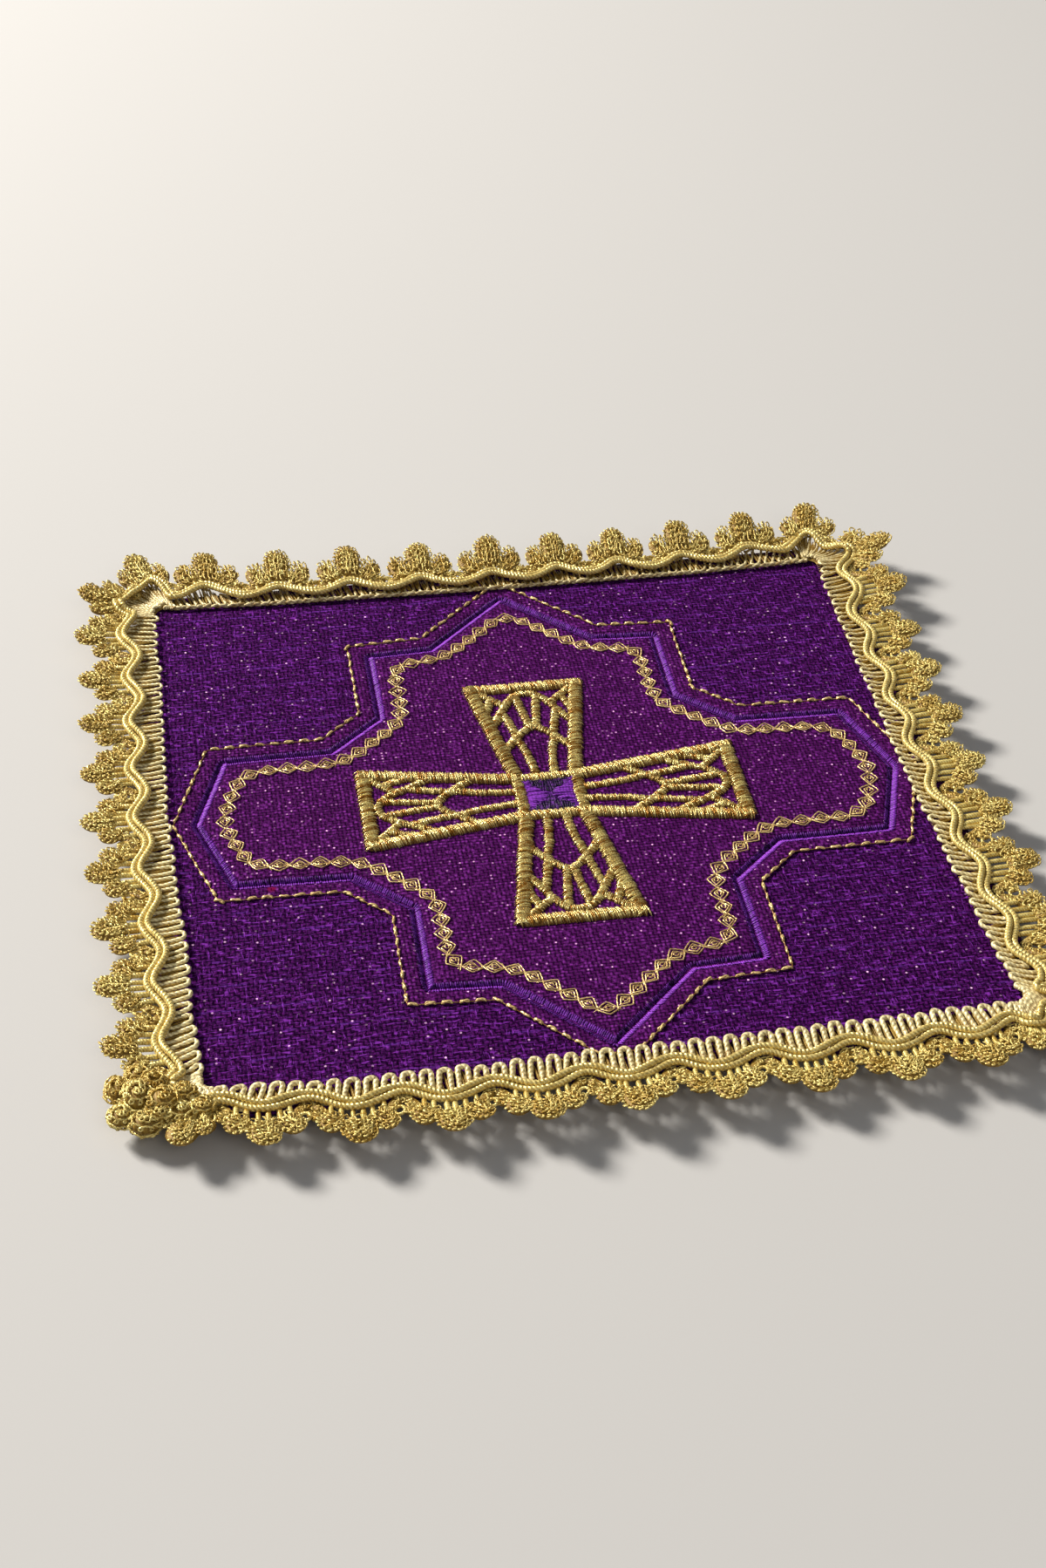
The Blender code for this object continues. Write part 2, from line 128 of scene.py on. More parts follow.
def tubes(paths, radius, sides=6, closed=False, flat=1.0, tone=None):
    """Round threads along many paths of equal length. The direction at a point is the
    difference of its neighbours, the side is direction x up, the normal is side x direction,
    and a ring is centre + radius * (cos a * side + flat * sin a * normal)."""
    paths = np.asarray(paths, float)
    count, length, _ = paths.shape
    if closed:
        direction = unit(np.roll(paths, -1, axis=1) - np.roll(paths, 1, axis=1))
    else:
        direction = unit(np.gradient(paths, axis=1))
    side = unit(np.cross(direction, np.array([0.0, 0.0, 1.0])))
    normal = np.cross(side, direction)
    angle = 2.0 * np.pi * np.arange(sides) / sides
    cosine, sine = np.cos(angle)[:, None], np.sin(angle)[:, None]
    ring = cosine * side[:, :, None, :] + flat * sine * normal[:, :, None, :]
    radius = np.broadcast_to(np.asarray(radius, float), (count, length)).copy()
    if not closed:
        radius[:, [0, -1]] *= END_TAPER
    points = paths[:, :, None, :] + radius[:, :, None, None] * ring
    number = np.arange(count * length * sides).reshape(count, length, sides)
    here, there = (number, np.roll(number, -1, axis=1)) if closed else (number[:, :-1], number[:, 1:])
    quads = np.stack([here, there, np.roll(there, -1, axis=2), np.roll(here, -1, axis=2)], axis=-1)
    step = np.linalg.norm(np.diff(paths, axis=1, append=paths[:, :1]), axis=-1)
    along = np.concatenate([np.zeros((count, 1)), np.cumsum(step, axis=1)], axis=1)
    first = along[:, : quads.shape[1], None]
    last = along[:, 1 : quads.shape[1] + 1, None]
    turn = np.arange(sides)[None, None, :] / sides
    u = np.stack(np.broadcast_arrays(first, last, last, first), axis=-1)
    u = np.broadcast_to(u, quads.shape)
    v = np.stack(np.broadcast_arrays(turn, turn, turn + 1.0 / sides, turn + 1.0 / sides), axis=-1)
    v = np.broadcast_to(v, quads.shape)
    faces = [quads.reshape(-1, 4)]
    uvs = [np.stack([u, v], axis=-1).reshape(-1, 4, 2)]
    if not closed:
        caps = np.concatenate([number[:, 0, :], number[:, -1, ::-1]])
        faces.append(caps)
        uvs.append(np.zeros((*caps.shape, 2)))
    if tone is None:
        tone = rng.random(count)
    tone = np.asarray(tone, float)
    tone = tone[:, None] if tone.ndim == 1 else tone
    tones = np.repeat(np.broadcast_to(tone, (count, length)).ravel(), sides)
    return points.reshape(-1, 3), faces, uvs, tones


test_thread = tubes([[(0.0, 0.0, 0.0), (1.0, 0.0, 0.0), (2.0, 0.0, 0.0)]], 0.2, tone=0.5)
print("a test thread has points", len(test_thread[0]), "faces", sum(map(len, test_thread[1])))

# %% [markdown]
# ## Skins and lines
# The cloths are closed skins: rings of points joined by quads, with one face over the first
# and the last ring. The stitches need places along a line, its length, and the direction that
# lies to its right, so these are small functions of their own.

# %% Skins and lines
def closed_skin(rings, tone=0.5):
    """A closed surface from rings of points, rows by columns: quads between neighbouring rings
    and a face over either end. The uv is the column and row share."""
    rows, columns, _ = rings.shape
    left = np.arange(rows * columns).reshape(rows, columns)
    right = np.roll(left, -1, axis=1)
    quads = np.stack([left[:-1], right[:-1], right[1:], left[1:]], axis=-1)
    row = np.arange(rows - 1)[:, None, None] / rows
    column = np.arange(columns)[None, :, None] / columns
    u = np.broadcast_to(column + np.array([0, 1, 1, 0]) / columns, quads.shape)
    v = np.broadcast_to(row + np.array([0, 0, 1, 1]) / rows, quads.shape)
    faces = [quads.reshape(-1, 4), np.stack([left[0, ::-1], left[-1]])]
    uvs = [np.stack([u, v], axis=-1).reshape(-1, 4, 2), np.zeros((2, columns, 2))]
    return rings.reshape(-1, 3), faces, uvs, np.full(rows * columns, tone)


def along_path(points, places, closed=True):
    """Points of a polyline at given distances along it, by straight interpolation."""
    points = np.asarray(points, float)
    if closed:
        points = np.vstack([points, points[:1]])
    length = np.concatenate([[0.0], np.cumsum(np.linalg.norm(np.diff(points, axis=0), axis=1))])
    places = np.asarray(places) % length[-1] if closed else np.asarray(places)
    return np.stack([np.interp(places, length, values) for values in points.T], axis=-1)


def path_length(points, closed=True):
    """Length of a polyline, with the step back to its start if it is closed."""
    steps = np.roll(points, -1, axis=0) - points if closed else np.diff(points, axis=0)
    return np.linalg.norm(steps, axis=1).sum()


def even_places(line, pitch):
    """Distances along a closed line, evenly spaced: as many whole pitches as fit in."""
    length = path_length(line)
    count = int(length / pitch)
    return np.arange(count) * length / count


def right_of(direction):
    """A flat direction turned a quarter clockwise: (x, y) becomes (y, -x)."""
    return np.stack([direction[..., 1], -direction[..., 0]], axis=-1)


print("length of a square path", path_length(np.array([(0, 0), (1, 0), (1, 1), (0, 1)])))

# %% [markdown]
# ## Camera, light and floor
# The photograph looks down at the square at about 38 degrees, from its left front. The bright
# far sides of the gold bars, and the dark far wall of the sunk satin line, say that the main
# light is high behind the left back corner. A weak fill keeps the near sides readable.

# %% Set the camera and the studio
CAMERA_PLACE = np.array([-65.6, -347.8, 277.1])    # mm, above the middle of the cloth
CAMERA_AZIMUTH = math.radians(9.873)
CAMERA_DOWN = math.radians(38.006)
CAMERA_ROLL = math.radians(0.92)
LENS = 54.55
FLOOR_REACH = 3.0                                  # m
FLOOR_COLOUR = (0.50, 0.49, 0.475, 1.0)
SKY_COLOUR = (0.80, 0.82, 0.86, 1.0)
SKY_STRENGTH = 0.24
# Name, place in metres, width in metres, power and colour
LAMPS = (
    ("key", (-1.24, 1.04, 1.12), 0.44, 76.0, (1.0, 0.96, 0.90)),
    ("fill", (0.25, -0.85, 0.80), 0.6, 2.2, (1.0, 0.97, 0.94)),
)


def stand(thing, right, up, back, place):
    """Links an object into the scene with its own x, y and z axes along right, up and back."""
    bpy.context.scene.collection.objects.link(thing)
    matrix = np.eye(4)
    matrix[:3] = np.stack([right, up, back, place], axis=1)
    thing.matrix_world = Matrix(matrix.tolist())


def make_camera():
    """Looks along the azimuth and down, with the small roll of a hand-held camera."""
    forward = np.array([
        math.sin(CAMERA_AZIMUTH) * math.cos(CAMERA_DOWN),
        math.cos(CAMERA_AZIMUTH) * math.cos(CAMERA_DOWN),
        -math.sin(CAMERA_DOWN),
    ])
    level = unit(np.cross(forward, [0.0, 0.0, 1.0]))
    upright = np.cross(level, forward)
    right = level * math.cos(CAMERA_ROLL) + upright * math.sin(CAMERA_ROLL)
    data = bpy.data.cameras.new("camera")
    data.lens = LENS
    data.sensor_width = 36.0
    data.clip_start = 0.01
    camera = bpy.data.objects.new("camera", data)
    place = (CAMERA_PLACE + [0.0, 0.0, CLOTH_TOP]) * MM
    stand(camera, right, np.cross(right, forward), -forward, place)
    bpy.context.scene.camera = camera


def area_light(name, place, width, power, colour):
    """A square lamp that faces the middle of the cloth."""
    data = bpy.data.lights.new(name, "AREA")
    data.size = width
    data.energy = power
    data.color = colour
    back = unit(np.array(place))
    side = unit(np.cross([0.0, 0.0, 1.0], back))
    stand(bpy.data.objects.new(name, data), side, np.cross(back, side), back, place)


def make_studio():
    """A pale floor, one high key light behind the left back corner, a fill and a pale sky."""
    mesh = bpy.data.meshes.new("floor")
    corners = [(x * FLOOR_REACH, y * FLOOR_REACH, 0) for x, y in ((-1, -1), (1, -1), (1, 1), (-1, 1))]
    mesh.from_pydata(corners, [], [(0, 1, 2, 3)])
    floor = bpy.data.objects.new("floor", mesh)
    bpy.context.scene.collection.objects.link(floor)
    paint = bpy.data.materials.new("floor_paint")
    paint.use_nodes = True
    shader = paint.node_tree.nodes["Principled BSDF"]
    shader.inputs["Base Color"].default_value = FLOOR_COLOUR
    shader.inputs["Roughness"].default_value = 0.9
    mesh.materials.append(paint)
    for lamp in LAMPS:
        area_light(*lamp)
    world = bpy.data.worlds.new("sky")
    world.use_nodes = True
    background = world.node_tree.nodes["Background"]
    background.inputs["Color"].default_value = SKY_COLOUR
    background.inputs["Strength"].default_value = SKY_STRENGTH
    bpy.context.scene.world = world
    bpy.context.scene.view_settings.view_transform = "Standard"


make_camera()
make_studio()
print("lens mm", LENS, "lamps", [lamp[0] for lamp in LAMPS])

# %% [markdown]
# ## Short names for nodes
# A node tree by hand takes three lines for each node. A small class with one method for each
# kind of step keeps the materials below readable: what goes in comes first, and the output
# socket comes back, ready for the next step.

# %% Short names for nodes
class Nodes:
    """Short names for building a node tree."""

    def __init__(self, tree):
        self.tree = tree

    def add(self, kind, **values):
        """A node with some of its settings."""
        node = self.tree.nodes.new(kind)
        for name, value in values.items():
            setattr(node, name, value)
        return node

    def feed(self, socket, value):
        """Links an output into a socket, or sets the socket to a plain value."""
        if hasattr(value, "is_output"):
            self.tree.links.new(value, socket)
        elif value is not None:
            socket.default_value = value

    def math(self, operation, first, second=None, third=None):
        """One arithmetic step."""
        node = self.add("ShaderNodeMath", operation=operation)
        for socket, value in zip(node.inputs, (first, second, third)):
            self.feed(socket, value)
        return node.outputs[0]

    def noise(self, vector, scale, detail=2.0):
        """Soft random values from 0 to 1."""
        node = self.add("ShaderNodeTexNoise")
        self.feed(node.inputs["Vector"], vector)
        self.feed(node.inputs["Scale"], scale)
        self.feed(node.inputs["Detail"], detail)
        return node.outputs[0]

    def stretch(self, vector, scale):
        """A vector times three numbers."""
        node = self.add("ShaderNodeVectorMath", operation="MULTIPLY")
        self.feed(node.inputs[0], vector)
        self.feed(node.inputs[1], scale)
        return node.outputs[0]

    def ramp(self, value, low, high):
        """0 below low, 1 above high, and smooth between."""
        node = self.add("ShaderNodeMapRange", interpolation_type="SMOOTHSTEP")
        self.feed(node.inputs["Value"], value)
        self.feed(node.inputs["From Min"], low)
        self.feed(node.inputs["From Max"], high)
        return node.outputs["Result"]

    def mix(self, share, first, second):
        """From the first colour to the second."""
        node = self.add("ShaderNodeMix", data_type="RGBA")
        self.feed(node.inputs[0], share)
        self.feed(node.inputs[6], first)
        self.feed(node.inputs[7], second)
        return node.outputs[2]


def new_group(name, inputs, outputs):
    """An empty node group with its sockets: (name, kind, value) in, (name, kind) out."""
    tree = bpy.data.node_groups.new(name, "ShaderNodeTree")
    for label, kind, value in inputs:
        socket = tree.interface.new_socket(name=label, in_out="INPUT", socket_type=kind)
        if value is not None:
            socket.default_value = value
    for label, kind in outputs:
        tree.interface.new_socket(name=label, in_out="OUTPUT", socket_type=kind)
    kit = Nodes(tree)
    return kit, kit.add("NodeGroupInput").outputs, kit.add("NodeGroupOutput").inputs


print("node steps", [name for name in vars(Nodes) if not name.startswith("_")])

# %% [markdown]
# ## Shared effects
# Cloth and thread need three effects again and again: a weave, small bright specks that are
# painted glints where a shiny fibre comes up, and a twist along a thread. Each is a node group
# that puts out a height or a mask. The materials below give them their own pitches and colours.

# %% Node groups for the effects
def weave_group():
    """Plain weave. Two sine waves cross, and a sign that flips from cell to cell says which
    thread is on top. Noise bends the threads, and stretched noise makes slubs."""
    kit, given, result = new_group(
        "weave",
        [
            ("Vector", "NodeSocketVector", None),
            ("Pitch", "NodeSocketFloat", 0.0008),
            ("Wander", "NodeSocketFloat", 0.35),
        ],
        [("Height", "NodeSocketFloat"), ("Warp", "NodeSocketFloat"), ("Slub", "NodeSocketFloat")],
    )
    shift = kit.add("ShaderNodeTexNoise")
    kit.feed(shift.inputs["Vector"], given["Vector"])
    kit.feed(shift.inputs["Scale"], 420.0)
    spread = kit.add("ShaderNodeVectorMath", operation="MULTIPLY_ADD")
    kit.feed(spread.inputs[0], shift.outputs["Color"])
    combine = kit.add("ShaderNodeCombineXYZ")
    reach = kit.math("MULTIPLY", given["Pitch"], given["Wander"])
    for socket in combine.inputs[:2]:
        kit.feed(socket, reach)
    kit.feed(spread.inputs[1], combine.outputs[0])
    kit.feed(spread.inputs[2], given["Vector"])
    axes = kit.add("ShaderNodeSeparateXYZ")
    kit.feed(axes.inputs[0], spread.outputs[0])
    warp_phase = kit.math("DIVIDE", axes.outputs["X"], given["Pitch"])
    weft_phase = kit.math("DIVIDE", axes.outputs["Y"], given["Pitch"])
    warp = kit.math("ABSOLUTE", kit.math("SINE", kit.math("MULTIPLY", warp_phase, math.pi)))
    weft = kit.math("ABSOLUTE", kit.math("SINE", kit.math("MULTIPLY", weft_phase, math.pi)))
    cells = kit.math("ADD", kit.math("FLOOR", warp_phase), kit.math("FLOOR", weft_phase))
    over = kit.math("PINGPONG", cells, 1.0)
    warp_top = kit.math("MULTIPLY", warp, over)
    weft_top = kit.math("MULTIPLY", weft, kit.math("SUBTRACT", 1.0, over))
    kit.feed(result["Height"], kit.math("MAXIMUM", warp_top, weft_top))
    kit.feed(result["Warp"], over)
    slub = kit.noise(kit.stretch(given["Vector"], (30.0, 1500.0, 1.0)), 1.0, 3.0)
    kit.feed(result["Slub"], slub)


def speck_group():
    """Bright specks: in a jittered grid of cells, the few whose random number is high get a
    round dot in the middle. Each cell's own random number comes out too."""
    kit, given, result = new_group(
        "speck",
        [
            ("Vector", "NodeSocketVector", None),
            ("Pitch", "NodeSocketFloat", 0.001),
            ("Share", "NodeSocketFloat", 0.05),
            ("Size", "NodeSocketFloat", 0.35),
        ],
        [("Mask", "NodeSocketFloat"), ("Cell", "NodeSocketFloat"), ("Dot", "NodeSocketFloat")],
    )
    cells = kit.add("ShaderNodeTexVoronoi", voronoi_dimensions="2D")
    scaled = kit.add("ShaderNodeVectorMath", operation="SCALE")
    kit.feed(scaled.inputs[0], given["Vector"])
    kit.feed(scaled.inputs["Scale"], kit.math("DIVIDE", 1.0, given["Pitch"]))
    kit.feed(cells.inputs["Vector"], scaled.outputs[0])
    kit.feed(cells.inputs["Scale"], 1.0)
    kit.feed(cells.inputs["Randomness"], 0.55)
    split = kit.add("ShaderNodeSeparateColor")
    kit.feed(split.inputs[0], cells.outputs["Color"])
    chosen = kit.math("GREATER_THAN", split.outputs[0], kit.math("SUBTRACT", 1.0, given["Share"]))
    distance = cells.outputs["Distance"]
    edge = kit.ramp(distance, kit.math("MULTIPLY", given["Size"], 0.5), given["Size"])
    near = kit.math("SUBTRACT", 1.0, edge)
    kit.feed(result["Mask"], kit.math("MULTIPLY", chosen, near))
    kit.feed(result["Cell"], split.outputs[1])
    kit.feed(result["Dot"], kit.math("SUBTRACT", 1.0, kit.ramp(distance, 0.1, 0.6)))


def twist_group():
    """Plies of a thread: a sine of the distance along it plus the turn round it."""
    kit, given, result = new_group(
        "twist",
        [
            ("UV", "NodeSocketVector", None),
            ("Pitch", "NodeSocketFloat", 0.8),
            ("Plies", "NodeSocketFloat", 1.0),
        ],
        [("Height", "NodeSocketFloat")],
    )
    axes = kit.add("ShaderNodeSeparateXYZ")
    kit.feed(axes.inputs[0], given["UV"])
    forward = kit.math("DIVIDE", axes.outputs["X"], given["Pitch"])
    around = kit.math("MULTIPLY", axes.outputs["Y"], given["Plies"])
    wave = kit.math("SINE", kit.math("MULTIPLY", kit.math("ADD", forward, around), 2.0 * math.pi))
    kit.feed(result["Height"], kit.math("MULTIPLY_ADD", wave, 0.5, 0.5))


weave_group()
speck_group()
twist_group()
print("node groups", [group.name for group in bpy.data.node_groups])

# %% [markdown]
# ## Materials of the two cloths
# The ground cloth is bluish violet with lighter cross threads and a slub every few
# millimetres. The medallion's cloth is finer, redder and more dotted, and it has one small red
# stain beside its satin line. Colour and bump come from the same weave, so that a bright
# thread is also a raised one.

# %% What every material needs
def start_material(name, roughness, metallic=0.0, specular=0.5):
    made = bpy.data.materials.new(name)
    made.use_nodes = True
    kit = Nodes(made.node_tree)
    shader = made.node_tree.nodes["Principled BSDF"]
    shader.inputs["Roughness"].default_value = roughness
    shader.inputs["Metallic"].default_value = metallic
    shader.inputs["Specular IOR Level"].default_value = specular
    return made, kit, shader


def use_group(kit, name, **values):
    """A group node with its inputs set or linked."""
    node = kit.add("ShaderNodeGroup")
    node.node_tree = bpy.data.node_groups[name]
    for label, value in values.items():
        kit.feed(node.inputs[label], value)
    return node.outputs


def bump(kit, shader, height, distance, strength=1.0):
    """A Bump node between a height and the shader."""
    node = kit.add("ShaderNodeBump")
    kit.feed(node.inputs["Height"], height)
    kit.feed(node.inputs["Distance"], distance)
    kit.feed(node.inputs["Strength"], strength)
    kit.feed(shader.inputs["Normal"], node.outputs[0])


empty, _, shader = start_material("empty_finish", 0.5)
print("a new material has nodes", len(empty.node_tree.nodes), "and its shader is", shader.name)
bpy.data.materials.remove(empty)

# %% Ground cloth's material
# Each colour is linear red, green and blue, with full opacity
GROUND_GAP = (0.014, 0.0004, 0.024, 1)
GROUND_SHADE = (0.016, 0.0004, 0.026, 1)
GROUND_THREAD = (0.070, 0.004, 0.098, 1)
GROUND_SLUB = (0.145, 0.018, 0.250, 1)
GROUND_LINE = (0.155, 0.030, 0.340, 1)
GROUND_GLINT = (0.95, 0.55, 0.90, 1)
GROUND_PITCH = 0.85          # mm between threads
LINE_PITCH = 6.2             # mm between the thicker light threads


def streaks(kit, place, scale, low, high, detail=1.0):
    """Noise stretched by three scales, cut to a mask between low and high."""
    return kit.ramp(kit.noise(kit.stretch(place, scale), 1.0, detail), low, high)


def ground_material():
    """Bluish violet cloth, its pattern read at (x + z, y + z) so that it doesn't smear down the
    panel's sides: dark gaps, violet threads, lighter slubs that run both ways, a thicker light
    thread every few millimetres, and a few bright specks of shiny fibre, painted glints."""
    made, kit, shader = start_material("ground_cloth_finish", 0.75, specular=0.03)
    flat = kit.add("ShaderNodeSeparateXYZ")
    kit.feed(flat.inputs[0], kit.add("ShaderNodeTexCoord").outputs["Object"])
    wrapped = kit.add("ShaderNodeCombineXYZ")
    folded = {axis: kit.math("ADD", flat.outputs[axis], flat.outputs["Z"]) for axis in "XY"}
    for axis, value in folded.items():
        kit.feed(wrapped.inputs[axis], value)
    place = wrapped.outputs[0]
    weave = use_group(kit, "weave", Vector=place, Pitch=GROUND_PITCH * MM, Wander=1.2)
    speck = use_group(kit, "speck", Vector=place, Pitch=1.1 * MM, Share=0.09, Size=0.24)
    thread = kit.mix(kit.ramp(weave["Height"], 0.30, 0.90), GROUND_GAP, GROUND_THREAD)
    shaded = kit.mix(kit.ramp(kit.noise(place, 1500.0, 2.0), 0.38, 0.58), GROUND_SHADE, thread)
    weft = streaks(kit, place, (420.0, 1900.0, 1.0), 0.56, 0.66)
    warp = streaks(kit, place, (1900.0, 420.0, 1.0), 0.60, 0.70)
    slub = kit.math("MAXIMUM", weft, warp)
    wander = kit.noise(kit.stretch(place, (40.0, 8.0, 1.0)), 1.0, 1.0)
    across = kit.math("MULTIPLY_ADD", wander, 1.6 * MM, folded["Y"])
    row = kit.math("SINE", kit.math("MULTIPLY", across, 2.0 * math.pi / (LINE_PITCH * MM)))
    broken = streaks(kit, place, (260.0, 90.0, 1.0), 0.42, 0.58, 2.0)
    lines = kit.math("MULTIPLY", kit.ramp(row, 0.955, 0.995), broken)
    slubs = kit.mix(slub, shaded, GROUND_SLUB)
    lined = kit.mix(kit.math("MULTIPLY", lines, 0.45), slubs, GROUND_LINE)
    # Painted glints: bright specks of shiny fibre, mixed into the base colour
    flare = kit.math("MULTIPLY", speck["Mask"], kit.math("POWER", speck["Cell"], 2.0))
    kit.feed(shader.inputs["Base Color"], kit.mix(flare, lined, GROUND_GLINT))
    height = kit.math("ADD", weave["Height"], kit.math("MULTIPLY", slub, 0.8))
    bump(kit, shader, height, 0.22 * MM, 1.0)
    return made


GROUND = ground_material()
print("ground nodes", len(GROUND.node_tree.nodes))

# %% Medallion cloth's material
PLUM_GAP = (0.014, 0.0004, 0.020, 1)
PLUM_THREAD = (0.058, 0.003, 0.072, 1)
PLUM_DOT = (0.160, 0.018, 0.215, 1)
PLUM_GLINT = (1.0, 0.55, 0.85, 1)
PLUM_PITCH = 0.75            # mm between threads
DOT_PITCH = 0.85
STAIN = ((-54.2, -21.9), (1.2, 1.5))      # its middle and half sizes, mm
STAIN_COLOUR = (0.170, 0.001, 0.030, 1)


def stain_mask(kit, place):
    """A soft blot: 1 minus a ramp of the distance from its middle, in half sizes and squared,
    that noise makes ragged."""
    axes = kit.add("ShaderNodeSeparateXYZ")
    kit.feed(axes.inputs[0], place)
    far = 0.0
    for axis, middle, half in zip("XY", *STAIN):
        share = kit.math("DIVIDE", kit.math("SUBTRACT", axes.outputs[axis], middle * MM), half * MM)
        far = kit.math("ADD", kit.math("MULTIPLY", share, share), far)
    ragged = kit.math("MULTIPLY_ADD", kit.noise(place, 2500.0, 1.0), 0.9, far)
    return kit.math("SUBTRACT", 1.0, kit.ramp(ragged, 0.5, 1.3))


def medallion_material():
    """Plum cloth with a dotted weave, bright specks of shiny fibre of every brightness as painted glints,
    and the small red stain.
    """
    made, kit, shader = start_material("medallion_cloth_finish", 0.7, specular=0.03)
    place = kit.add("ShaderNodeTexCoord").outputs["Object"]
    weave = use_group(kit, "weave", Vector=place, Pitch=PLUM_PITCH * MM, Wander=0.5)
    knots = use_group(kit, "speck", Vector=place, Pitch=DOT_PITCH * MM, Share=0.95, Size=0.46)
    speck = use_group(kit, "speck", Vector=place, Pitch=DOT_PITCH * MM, Share=0.12, Size=0.27)
    base = kit.mix(kit.ramp(weave["Height"], 0.25, 0.9), PLUM_GAP, PLUM_THREAD)
    light = kit.math("MULTIPLY", knots["Dot"], kit.ramp(knots["Cell"], 0.15, 1.0))
    dotted = kit.mix(light, base, PLUM_DOT)
    stained = kit.mix(kit.math("MULTIPLY", stain_mask(kit, place), 0.75), dotted, STAIN_COLOUR)
    # Painted glints: bright specks of shiny fibre, mixed into the base colour
    flare = kit.math("MULTIPLY", speck["Mask"], kit.math("POWER", speck["Cell"], 2.6))
    kit.feed(shader.inputs["Base Color"], kit.mix(flare, stained, PLUM_GLINT))
    bump(kit, shader, kit.math("ADD", weave["Height"], light), 0.18 * MM, 0.9)
    return made


MEDALLION = medallion_material()
print("medallion nodes", len(MEDALLION.node_tree.nodes))

# %% [markdown]
# ## Threads' materials
# Yarn, satin and wound gold differ only in colours, gloss and twist, so one function makes
# them all from a row of numbers. Gold here is thread wound with a gold film: half metallic at
# most, with a brown dark colour for the core that shows between the windings, and the grooves
# of the twist painted darker as painted shade. The two core finishes are dark browns that
# stand for the shade between stitches and yarns: painted shade.

# %% Threads' materials
FLECK = 1400.0               # scale of the fine noise on a thread


def thread_material(name, dark, bright, roughness, metallic, twist_pitch, depth, specular=0.5):
    """Thread: a colour between dark and bright by the thread's tone attribute and a fine noise,
    darkened in the grooves between the plies as painted shade, with plies as bump."""
    made, kit, shader = start_material(name, roughness, metallic, specular)
    coords = kit.add("ShaderNodeTexCoord").outputs
    tone = kit.add("ShaderNodeAttribute", attribute_name="tone").outputs["Fac"]
    twist = use_group(kit, "twist", UV=coords["UV"], Pitch=twist_pitch, Plies=2.0)
    fleck = kit.ramp(kit.noise(coords["Object"], FLECK, 2.0), 0.35, 0.65)
    share = kit.math("MULTIPLY_ADD", fleck, 0.5, kit.math("MULTIPLY", tone, 0.5))
    # Painted shade: the colour is darker where the twist's height is low, in the grooves between the plies
    tone_with_ply_shade = kit.math("MULTIPLY", share, kit.math("MULTIPLY_ADD", twist["Height"], 0.5, 0.5))
    kit.feed(shader.inputs["Base Color"], kit.mix(tone_with_ply_shade, (*dark, 1), (*bright, 1)))
    bump(kit, shader, twist["Height"], depth * MM, 0.8)
    return made


# Dark and bright colour, roughness, metallic share, length of a twist and depth of its plies in
# mm, and, for the satin, a weaker shine than usual
THREADS = {
    "gold_thread": ((0.30, 0.13, 0.008), (1.0, 0.88, 0.36), 0.26, 0.50, 0.50, 0.06),
    # the padded cores under the cross's stitches: a dark brown that is painted shade between the stitches
    "gold_core_shade": ((0.10, 0.04, 0.002), (0.34, 0.17, 0.015), 0.60, 0.20, 0.50, 0.05),
    "pale_gold": ((0.24, 0.09, 0.012), (1.0, 0.76, 0.32), 0.32, 0.35, 0.90, 0.05),
    "violet_satin": ((0.006, 0.0005, 0.020), (0.34, 0.06, 0.64), 0.42, 0.0, 0.60, 0.03, 0.12),
    "header_yarn": ((0.24, 0.13, 0.018), (1.0, 0.88, 0.48), 0.42, 0.15, 0.90, 0.08),
    "lace_yarn": ((0.42, 0.24, 0.022), (1.0, 0.88, 0.34), 0.36, 0.30, 0.50, 0.06),
    # the bases, puff cores and header filling: a dark brown that is painted shade between the yarns
    "lace_core_shade": ((0.15, 0.075, 0.004), (0.42, 0.26, 0.030), 0.60, 0.10, 0.50, 0.05),
    "gimp_yarn": ((0.40, 0.24, 0.025), (1.0, 0.84, 0.34), 0.34, 0.35, 0.75, 0.14),
}
FINISHES = {name: thread_material(f"{name}_finish", *row) for name, row in THREADS.items()}
print("thread finishes", list(FINISHES))

# %% [markdown]
# ## The medallion's outline
# The medallion is a barbed quatrefoil: gabled arms up and down with square shoulders, gabled
# arms to the sides, and slanted cuts between them. One quarter is enough, because it mirrors
# twice. Every line round the medallion, such as the cut edge, the dashed line, the satin line
# and the chain, is this outline moved in or out, so a single function makes them all.

# %% Outline and its parallel lines
DESIGN_DROP = 2.4            # mm, how far the design's middle lies to the front
DESIGN_TURN = math.radians(-0.52)
OUTLINE = np.array([         # a quarter, from the back gable round to the right one
    (0.0, 67.1), (16.5, 50.5), (29.4, 49.7), (29.3, 28.5), (39.7, 18.8), (60.6, 18.3), (66.5, 0.0),
])


def placed(points):
    """Design points turned and moved to where they lie on the panel."""
    cosine, sine = math.cos(DESIGN_TURN), math.sin(DESIGN_TURN)
    return np.asarray(points) @ np.array([[cosine, sine], [-sine, cosine]]) - [0.0, DESIGN_DROP]


def satin_line():
    """The whole outline, anticlockwise: the quarter mirrored in both axes."""
    back = OUTLINE[::-1][:-1]
    quarters = [(OUTLINE * [1, -1])[:-1], back, (OUTLINE * [-1, 1])[:-1], back * [-1, -1]]
    return np.concatenate(quarters)


def parallel(distance):
    """The outline moved out by distance: each corner goes along the bisector of its two
    edge normals, by distance over the cosine between bisector and normal."""
    line = satin_line()
    before = unit(line - np.roll(line, 1, axis=0))
    after = unit(np.roll(line, -1, axis=0) - line)
    normal_before, normal_after = right_of(before), right_of(after)
    bisector = unit(normal_before + normal_after)
    return line + bisector * (distance / (bisector * normal_before).sum(axis=1))[:, None]


